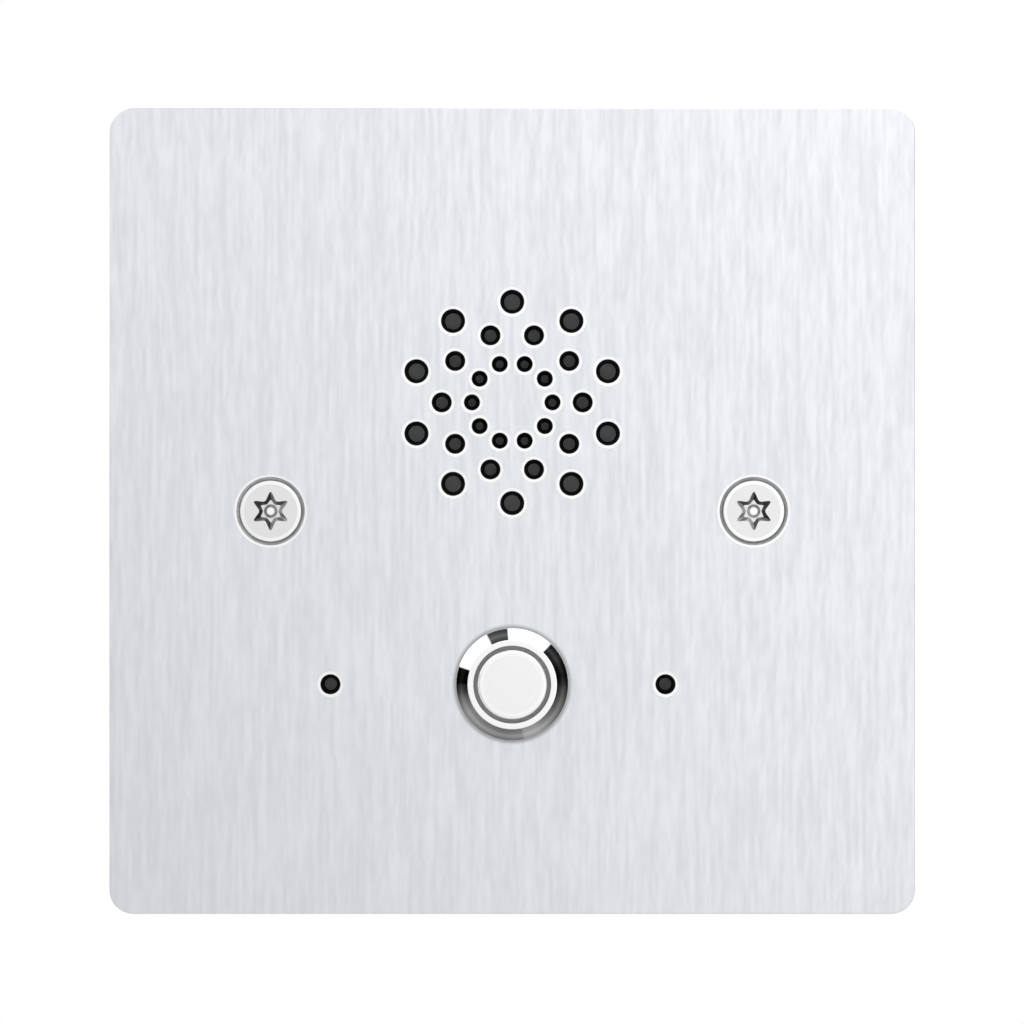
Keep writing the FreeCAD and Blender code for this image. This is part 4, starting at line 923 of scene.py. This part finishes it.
def draw_recess(mesh, sizes, top):
    """Loops of a pinned recess: its mouth, its floor, the pin's foot and the pin's face."""
    floor = top + sizes.star_depth
    return [
        draw_star(mesh, sizes.star, sizes.star_valley, top, sizes.point_rounding, sizes.valley_rounding),
        draw_star(mesh, sizes.star_floor, sizes.floor_valley, floor, sizes.floor_rounding,
                  2 * sizes.floor_rounding),
        *draw_circles(mesh, (sizes.pin_foot, floor), (sizes.pin, top + sizes.pin_drop), steps=48),
    ]


def make_fixing_screws(context):
    """Two countersunk screws with a pinned six-point recess and their threads."""
    sizes = context.scene.screw_sizes
    colours = context.scene.panel_colours
    top = SCREWS_LOW.y
    tip = SCREWS_HIGH.y
    inside = sizes.head - 2 * sizes.head_rounding
    neck = top + sizes.head_edge + (sizes.head - sizes.neck) / 2
    root = sizes.thread_root
    face, edge, dark_wall = range(3)
    light_wall = dark_wall + len(RECESS_LIMITS)
    mesh = bmesh.new()
    star, floor, pin_foot, pin = draw_recess(mesh, sizes, top)
    rim = [
        draw_circle(mesh, inside - 2 * sizes.head_ring, top),
        *draw_rounding(mesh, inside, sizes.head, top + sizes.ring_drop, sizes.head_rounding, points=4),
    ]
    below = draw_circles(mesh, (sizes.head, top + sizes.head_edge), (sizes.neck, neck),
                         (sizes.neck, sizes.neck_end), (root, sizes.neck_end + sizes.shoulder),
                         (root, tip - sizes.chamfer), (root - 2 * sizes.chamfer, tip))
    fill(mesh, [rim[0], star], face)
    bridge(mesh, star, floor, dark_wall)
    fill(mesh, [floor, pin_foot], face)
    bridge(mesh, pin_foot, pin, light_wall)
    fill(mesh, [pin], edge)
    join_loops(mesh, rim + below[:1], edge)
    join_loops(mesh, below, face)
    fill(mesh, [below[-1]], face)
    wind_thread(mesh, root, sizes.thread, sizes.pitch, sizes.neck_end + sizes.thread_end,
                tip - sizes.thread_end)
    repeat_at(mesh, [(side * sizes.spacing / 2, 0.0, 0.0) for side in (1, -1)])
    shade_recesses(mesh, dark_wall)
    walls = [recess_wall(colours, step) for step in range(len(RECESS_STEPS))]
    materials = [screw_face(colours), screw_edge(colours), *walls]
    new_piece("pinned_fixing_screws", mesh, materials, "panel", ["fixing_screws"])


def button_centre(context):
    """Where the button's axis meets the wall plane."""
    return Vector((0.0, 0.0, context.scene.faceplate_sizes.lower_row))


def make_button_body(context):
    """The bezel with its mirror bevel and painted shade on its outer edge, and the barrel."""
    sizes = context.scene.button_sizes
    colours = context.scene.panel_colours
    centre = button_centre(context)
    front = BEZEL_LOW.y
    end = BEZEL_HIGH.y
    outside = (BEZEL_HIGH.x - BEZEL_LOW.x) / 2
    low = front + sizes.bevel_depth
    back = low + sizes.skirt
    shaded_edge = sizes.shaded_edge_width
    mouth = sizes.mouth / 2
    mesh = bmesh.new()
    corners = [
        (mouth, front),
        (outside - sizes.bevel, front),
        (outside - shaded_edge, low - shaded_edge * sizes.bevel_depth / sizes.bevel),
        (outside, low),
        (outside, back),
        (sizes.barrel / 2, back),
        (sizes.barrel / 2, end),
        (sizes.bore / 2, end),
        (sizes.bore / 2, front + sizes.lip),
        (mouth, front + sizes.lip),
    ]
    small = sizes.break_edge
    spin_profile(mesh, corners, [(0, small), (1, small), (3, small)], steps=160)
    unpolished_shaded, turned = 1, 2
    slack = small * 0.2
    for face in mesh.faces:
        reach = reach_of(face)
        if face.calc_center_median().y > back - slack:
            face.material_index = turned
        # Painted shade: the walls inside the mouth and the bezel's outer edge take the darker groove grey.
        elif reach < mouth + slack or reach > outside - shaded_edge:
            face.material_index = unpolished_shaded
    harden(mesh, degrees=4.0)
    materials = [mirror_bezel(colours), shaded_groove(colours), bright_barrel(colours, centre)]
    polished_piece("bevelled_bezel", mesh, centre, materials, "panel", "button_body")


def make_button_cap(context):
    """The cap with its rounded edge and its guide flange."""
    sizes = context.scene.button_sizes
    colours = context.scene.panel_colours
    centre = button_centre(context)
    front = CAP_LOW.y
    back = CAP_HIGH.y
    shoulder = back - sizes.guide_length
    rim = sizes.cap / 2
    guide = sizes.guide / 2
    groove = shoulder + (sizes.guide_length - sizes.groove_width) / 2
    mesh = bmesh.new()
    corners = [
        (0.0, front),
        (sizes.satin / 2, front),
        (rim, front + sizes.rim_drop),
        (rim, shoulder),
        (guide, shoulder),
        (guide, groove),
        (guide - sizes.groove_depth, groove),
        (guide - sizes.groove_depth, groove + sizes.groove_width),
        (guide, groove + sizes.groove_width),
        (guide, back),
        (0.0, back),
    ]
    spin_profile(mesh, corners, [(2, sizes.cap_rounding)], steps=128)
    polished, unpolished_shaded = 1, 2
    side = front + sizes.cap_rounding * 0.9
    for face in mesh.faces:
        # Painted shade: the cap's side down in the gap takes the darker groove grey.
        if face.calc_center_median().y > side:
            face.material_index = unpolished_shaded
        elif reach_of(face) > sizes.satin / 2:
            face.material_index = polished
    harden(mesh)
    keep_flat(mesh)
    materials = [satin_cap(colours, centre), mirror_bezel(colours), shaded_groove(colours)]
    polished_piece("round_cap", mesh, centre, materials, "button", "button_cap")


def make_return_spring(context):
    """The coil that pushes the cap back."""
    sizes = context.scene.button_sizes
    centre = button_centre(context)
    wire_width = sizes.spring_wire
    reach = (SPRING_HIGH.x - SPRING_LOW.x - wire_width) / 2
    height = SPRING_HIGH.y - SPRING_LOW.y
    mesh = bmesh.new()
    start = Matrix.Translation((reach, SPRING_LOW.y + wire_width / 2, 0.0))
    bmesh.ops.create_circle(mesh, cap_ends=True, segments=16, radius=wire_width / 2, matrix=start)
    section = mesh.verts[:] + mesh.edges[:] + mesh.faces[:]
    wind(mesh, section, sizes.spring_turns, per_turn=48, rise=height - wire_width)
    for face in mesh.faces:
        face.smooth = len(face.verts) == 4
    harden(mesh, degrees=60.0)
    bmesh.ops.translate(mesh, vec=centre, verts=mesh.verts)
    spring = new_piece("coiled_spring", mesh, [spring_wire()], "panel", ["return_spring"])
    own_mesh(spring)


def merged_copy(node):
    """A bmesh with the shape of a CAD node, its loose triangles joined and its flat faces whole."""
    mesh = bmesh.new()
    mesh.from_mesh(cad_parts[node].data)
    bmesh.ops.remove_doubles(mesh, verts=mesh.verts, dist=TRIANGLE_JOINT)
    bmesh.ops.dissolve_limit(mesh, angle_limit=math.radians(1.0), verts=mesh.verts, edges=mesh.edges,
                             delimit={"NORMAL"})
    for face in mesh.faces:
        face.smooth = True
        face.material_index = 0
    return mesh


def round_edges(piece, width, segments=3):
    """A live Bevel on the sharp edges of a piece."""
    bevel = piece.modifiers.new("Rounded edges", "BEVEL")
    bevel.width = width
    bevel.segments = segments
    bevel.limit_method = "ANGLE"
    bevel.angle_limit = math.radians(35)
    bevel.harden_normals = True
    bevel.use_clamp_overlap = True


def make_moulded_pieces(context):
    """The rear housing, the network jack and the wall gasket, with the edges that a mould gives them."""
    sizes = context.scene.housing_sizes
    colours = context.scene.panel_colours
    jack = smooth_plastic("jack_plastic", (0.025, 0.025, 0.027))
    pieces = (
        ("moulded_housing", "rear_housing", textured_plastic(colours), "black_plastic", sizes.edge),
        ("moulded_jack", "network_jack", jack, "black_plastic", sizes.jack_edge),
        ("soft_gasket", "wall_gasket", black_rubber(colours), "black_rubber", sizes.gasket_edge),
    )
    for name, node, material, slot, edge in pieces:
        mesh = merged_copy(node)
        harden(mesh)
        piece = new_piece(name, mesh, [material], "panel", [node])
        round_edges(piece, edge)


def make_housing_screws(context):
    """Four long screws with rounded heads and hexagon sockets."""
    sizes = context.scene.housing_sizes
    colours = context.scene.panel_colours
    back = LONG_SCREWS_HIGH.y
    tip = LONG_SCREWS_LOW.y
    seat = back - sizes.screw_head_height
    corners = sizes.socket / math.cos(math.radians(30))
    mesh = bmesh.new()
    mouth, floor = draw_circles(mesh, (corners, back), (corners, back - sizes.socket_depth), steps=6)
    loops = draw_rounding(mesh, sizes.screw_head * CROWN, sizes.screw_head, back,
                          -sizes.screw_head_height * CROWN, points=5, steps=64)
    loops += draw_circles(mesh, (sizes.screw_head, seat), (sizes.screw_root, seat),
                          (sizes.screw_root, tip + sizes.chamfer),
                          (sizes.screw_root - 2 * sizes.chamfer, tip), steps=64)
    # The socket's walls and floor take the darkest recess tone as painted shade.
    plated, inner_wall = range(2)
    fill(mesh, [loops[0], mouth], plated)
    bridge(mesh, mouth, floor, inner_wall)
    fill(mesh, [floor], inner_wall)
    join_loops(mesh, loops, plated)
    fill(mesh, [loops[-1]], plated)
    wind_thread(mesh, sizes.screw_root, sizes.screw_thread, sizes.screw_pitch, tip + sizes.thread_end,
                seat - sizes.thread_end)
    x = LONG_SCREWS_HIGH.x - sizes.screw_head / 2
    z = LONG_SCREWS_HIGH.z - sizes.screw_head / 2
    repeat_at(mesh, [(x, 0.0, z), (-x, 0.0, z), (-x, 0.0, -z), (x, 0.0, -z)])
    materials = [zinc_plate(colours), recess_wall(colours)]
    new_piece("socket_housing_screws", mesh, materials, "panel", ["housing_screws"])


def finish_nodes(context):
    """Gives every CAD node that shows its own procedural finish."""
    for material, names in node_finishes(context.scene.panel_colours).items():
        for name in names:
            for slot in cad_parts[name].material_slots:
                slot.material = material


# Studio

# Angle as the caller sees it, anticlockwise from the right, and level of the cards round the button.
CARD_LEVELS = (
    (-180, 0.005), (-170, 0.03), (-160, 0.12), (-145, 0.21), (-125, 0.18), (-100, 0.145), (-78, 0.18),
    (-77, 0.29), (-62, 0.285), (-45, 0.17), (-28, 0.09), (-12, 0.04), (0, 0.008), (8, 0.002), (20, 0.004),
    (30, 0.013), (45.5, 0.012), (46.5, 1.25), (94.5, 1.25), (95.5, 0.05), (117.5, 0.058), (118.5, 1.25),
    (161.5, 1.25), (162.5, 0.001), (179, 0.0008),
)
# Power that the levels are raised to on the line along the cards, which makes the dark ones lighter.
LINE_POWER = 0.62
# The graded card's middle level, its change per metre of X and of Z, and the most that it departs by.
GRADED_CARD = (0.985, 1.6, 0.4)
# The floor's grey, and the shares of its radius between which it turns white.
FLOOR_GREY = 0.88
FLOOR_FADE = (0.25, 0.85)
# How much of its white the world gives as light.
WORLD_LIGHT = 0.62
# How far the photograph's frame is off the plate's middle, in frame widths.
CAMERA_SHIFT = (-0.0002, -0.00086)
# Name, place, side, power, and whether reflections show the lamp.
LAMPS = (
    ("front_lamp", (-0.9, -1.1, 1.0), 0.9, 9.0, False),
    ("side_lamp", (1.3, -0.5, 0.6), 0.8, 4.0, False),
    ("back_lamp", (0.5, 1.3, 1.1), 0.9, 9.0, True),
)


def studio_object(name, mesh, material):
    """A piece of the studio, which isn't part of the object."""
    made = object_of(name, mesh, [material])
    return made


def only_in_reflections(card):
    """Hides a card from all but glossy rays."""
    for rays in ("camera", "diffuse", "shadow", "transmission", "volume_scatter"):
        setattr(card, "visible_" + rays, False)


def empty_material(name):
    """A material with nothing but its output."""
    material = bpy.data.materials.new(name)
    material.use_nodes = True
    material.node_tree.nodes.clear()
    return material, material.node_tree, add(material.node_tree, "OutputMaterial")


def glow(tree, strength, output):
    """Gives a studio material a white light of its own."""
    wire(tree, add(tree, "Emission", {"Strength": strength}).outputs[0], output.inputs["Surface"])


def floor_material(radius):
    """Pale floor that turns white towards its rim."""
    material, tree, output = empty_material("pale_floor")
    surface = add(tree, "BsdfDiffuse", {"Color": (FLOOR_GREY, FLOOR_GREY, FLOOR_GREY, 1.0)})
    white = add(tree, "Emission")
    fade = contrast(tree, distance(tree, own_place(tree)), *[radius * share for share in FLOOR_FADE])
    mixed = add(tree, "MixShader", {0: fade, 1: surface.outputs[0], 2: white.outputs[0]})
    wire(tree, mixed.outputs[0], output.inputs["Surface"])
    return material


def graded_material():
    """A card that grows from grey at the lower left to bright at the upper right."""
    material, tree, output = empty_material("graded_card")
    parts = parts_of(tree, own_place(tree))
    along = calculate(tree, "ADD", parts["X"], parts["Z"])
    middle, slope, limit = GRADED_CARD
    level = calculate(tree, "ADD", calculate(tree, "MULTIPLY", along, slope), middle)
    level = calculate(tree, "MINIMUM", level, middle + limit)
    level = calculate(tree, "MAXIMUM", level, middle - limit)
    glow(tree, level, output)
    return material


def ring_material(centre, tilt, line_width):
    """Black, grey and white cards round the button, the dark ones lighter along their middle."""
    material, tree, output = empty_material("ring_of_cards")
    parts = parts_of(tree, own_place(tree))
    height = calculate(tree, "SUBTRACT", parts["Z"], centre.z)
    angle = calculate(tree, "ARCTAN2", height, parts["X"])
    turn = calculate(tree, "ADD", calculate(tree, "DIVIDE", angle, FULL_TURN), 0.5)
    ramp = add(tree, "ValToRGB", {0: turn})
    stops = ramp.color_ramp.elements
    while len(stops) < len(CARD_LEVELS):
        stops.new(0.5)
    for stop, (degrees, level) in zip(stops, CARD_LEVELS):
        stop.position = 0.5 + degrees / 360
        stop.color = (level, level, level, 1.0)
    across = calculate(tree, "SUBTRACT", parts["Y"], centre.y)
    across = calculate(tree, "ADD", across, calculate(tree, "MULTIPLY", height, math.tan(tilt)))
    across = calculate(tree, "ABSOLUTE", across)
    power = rescale(tree, contrast(tree, across, line_width, 0.0), 1.0, LINE_POWER)
    glow(tree, calculate(tree, "POWER", ramp.outputs["Color"], power), output)
    return material


def card_depth(scene):
    """The Y at which light from the ring of cards reaches the camera by the middle of the bezel's bevel."""
    studio = scene.studio_settings
    sizes = scene.button_sizes
    reach = (BEZEL_HIGH.x - BEZEL_LOW.x - sizes.bevel) / 2
    outward = math.radians(90) - 2 * math.atan(sizes.bevel_depth / sizes.bevel)
    rise = reach / studio.distance - math.tan(outward)
    return BEZEL_LOW.y + sizes.bevel_depth / 2 + (studio.card_radius - reach) * rise


def make_cards(studio, centre):
    """A ring of cards for the bezel's bevel, and a graded card for the plate."""
    mesh = bmesh.new()
    diameter = 2 * studio.card_radius
    bridge(mesh, *draw_circles(mesh, (diameter, centre.y - studio.card_width / 2),
                               (diameter, centre.y + studio.card_width / 2), z=centre.z, steps=256))
    tilt = -centre.z / studio.distance
    bmesh.ops.rotate(mesh, cent=centre, matrix=Matrix.Rotation(tilt, 3, "X"), verts=mesh.verts)
    material = ring_material(centre, tilt, studio.line_width)
    only_in_reflections(studio_object("ring_of_cards", mesh, material))
    mesh = bmesh.new()
    bmesh.ops.create_grid(mesh, x_segments=1, y_segments=1, size=studio.shade_size / 2,
                          matrix=facing_caller(0.0, PLATE_LOW.y - studio.shade_distance, 0.0))
    only_in_reflections(studio_object("graded_card", mesh, graded_material()))


def make_floor(studio):
    """A plain round floor."""
    mesh = bmesh.new()
    bmesh.ops.create_circle(mesh, cap_ends=True, segments=128, radius=studio.floor_radius,
                            matrix=Matrix.Translation((0.0, 0.0, -studio.floor_drop)))
    studio_object("floor", mesh, floor_material(studio.floor_radius))


def make_lamp(name, place, size, power, glossy):
    """A soft square lamp that faces the panel."""
    data = bpy.data.lights.new(name, "AREA")
    data.size = size
    data.energy = power
    lamp = bpy.data.objects.new(name, data)
    lamp.location = place
    lamp.rotation_euler = (-Vector(place)).to_track_quat("-Z", "Y").to_euler()
    lamp.visible_glossy = glossy
    bpy.context.scene.collection.objects.link(lamp)


def make_world(scene):
    """White to the camera and in reflections, and a little less as light."""
    world = bpy.data.worlds.new("white_studio")
    world.use_nodes = True
    tree = world.node_tree
    tree.nodes.clear()
    path = add(tree, "LightPath")
    seen = calculate(tree, "MAXIMUM", path.outputs["Is Camera Ray"], path.outputs["Is Glossy Ray"])
    seen = calculate(tree, "MAXIMUM", seen, path.outputs["Is Transmission Ray"])
    strength = rescale(tree, seen, WORLD_LIGHT, 1.0)
    light = add(tree, "Background", {"Color": (1.0, 1.0, 1.0, 1.0), "Strength": strength})
    add(tree, "OutputWorld", {"Surface": light.outputs[0]})
    scene.world = world


def make_camera(scene, studio):
    """A camera straight in front of the plate."""
    data = bpy.data.cameras.new("camera")
    data.sensor_width = 36.0
    data.lens = data.sensor_width * studio.distance / studio.field
    data.clip_start = 0.01
    data.clip_end = 20.0
    data.shift_x, data.shift_y = CAMERA_SHIFT
    camera = bpy.data.objects.new("camera", data)
    camera.location = (0.0, PLATE_LOW.y - studio.distance, 0.0)
    camera.rotation_euler = (math.radians(90), 0.0, 0.0)
    scene.collection.objects.link(camera)
    scene.camera = camera


def make_studio(context):
    """Floor, cards, lamps, world and camera."""
    scene = context.scene
    studio = scene.studio_settings
    make_floor(studio)
    make_cards(studio, button_centre(context) + Vector((0.0, card_depth(scene), 0.0)))
    for lamp in LAMPS:
        make_lamp(*lamp)
    make_world(scene)
    make_camera(scene, studio)
    scene.view_settings.view_transform = "Standard"


# Operators

class FaceplateOperator(bpy.types.Operator):
    """Make the brushed faceplate"""
    bl_idname = "call_panel.faceplate"
    bl_label = "Faceplate"

    def execute(self, context):
        make_faceplate(context)
        return {"FINISHED"}


class FixingScrewsOperator(bpy.types.Operator):
    """Make the two pinned fixing screws"""
    bl_idname = "call_panel.fixing_screws"
    bl_label = "Fixing screws"

    def execute(self, context):
        make_fixing_screws(context)
        return {"FINISHED"}


class ButtonBodyOperator(bpy.types.Operator):
    """Make the button's bezel and barrel"""
    bl_idname = "call_panel.button_body"
    bl_label = "Button bezel"

    def execute(self, context):
        make_button_body(context)
        return {"FINISHED"}


class ButtonCapOperator(bpy.types.Operator):
    """Make the button's cap"""
    bl_idname = "call_panel.button_cap"
    bl_label = "Button cap"

    def execute(self, context):
        make_button_cap(context)
        return {"FINISHED"}


class ReturnSpringOperator(bpy.types.Operator):
    """Make the button's return spring"""
    bl_idname = "call_panel.return_spring"
    bl_label = "Return spring"

    def execute(self, context):
        make_return_spring(context)
        return {"FINISHED"}


class MouldedPiecesOperator(bpy.types.Operator):
    """Make the rear housing, network jack and gasket"""
    bl_idname = "call_panel.moulded_pieces"
    bl_label = "Moulded pieces"

    def execute(self, context):
        make_moulded_pieces(context)
        return {"FINISHED"}


class HousingScrewsOperator(bpy.types.Operator):
    """Make the four screws of the rear housing"""
    bl_idname = "call_panel.housing_screws"
    bl_label = "Housing screws"

    def execute(self, context):
        make_housing_screws(context)
        return {"FINISHED"}


class NodeFinishesOperator(bpy.types.Operator):
    """Give the remaining parts their finishes"""
    bl_idname = "call_panel.node_finishes"
    bl_label = "Part finishes"

    def execute(self, context):
        finish_nodes(context)
        return {"FINISHED"}


class StudioOperator(bpy.types.Operator):
    """Make the floor, lamps, cards and camera"""
    bl_idname = "call_panel.studio"
    bl_label = "Studio"

    def execute(self, context):
        make_studio(context)
        return {"FINISHED"}


OPERATORS = (FaceplateOperator, FixingScrewsOperator, ButtonBodyOperator, ButtonCapOperator,
             ReturnSpringOperator, MouldedPiecesOperator, HousingScrewsOperator, NodeFinishesOperator,
             StudioOperator)
GROUPS = {
    "faceplate_sizes": FaceplateSizes,
    "screw_sizes": ScrewSizes,
    "button_sizes": ButtonSizes,
    "housing_sizes": HousingSizes,
    "panel_colours": PanelColours,
    "studio_settings": StudioSettings,
}


class CallPanelSidebar(bpy.types.Panel):
    """Lists the pieces of the call panel"""
    bl_idname = "VIEW3D_PT_call_panel"
    bl_label = "Call Panel"
    bl_space_type = "VIEW_3D"
    bl_region_type = "UI"
    bl_category = "Call Panel"

    def draw(self, context):
        for operator in OPERATORS:
            self.layout.operator(operator.bl_idname)


def register():
    for name, group in GROUPS.items():
        bpy.utils.register_class(group)
        setattr(bpy.types.Scene, name, PointerProperty(type=group))
    for operator in OPERATORS:
        bpy.utils.register_class(operator)
    bpy.utils.register_class(CallPanelSidebar)


def unregister():
    bpy.utils.unregister_class(CallPanelSidebar)
    for operator in reversed(OPERATORS):
        bpy.utils.unregister_class(operator)
    for name, group in reversed(GROUPS.items()):
        delattr(bpy.types.Scene, name)
        bpy.utils.unregister_class(group)


def main():
    """Makes every piece."""
    register()
    for operator in OPERATORS:
        group, name = operator.bl_idname.split(".")
        getattr(getattr(bpy.ops, group), name)()


if __name__ == "__main__":
    main()
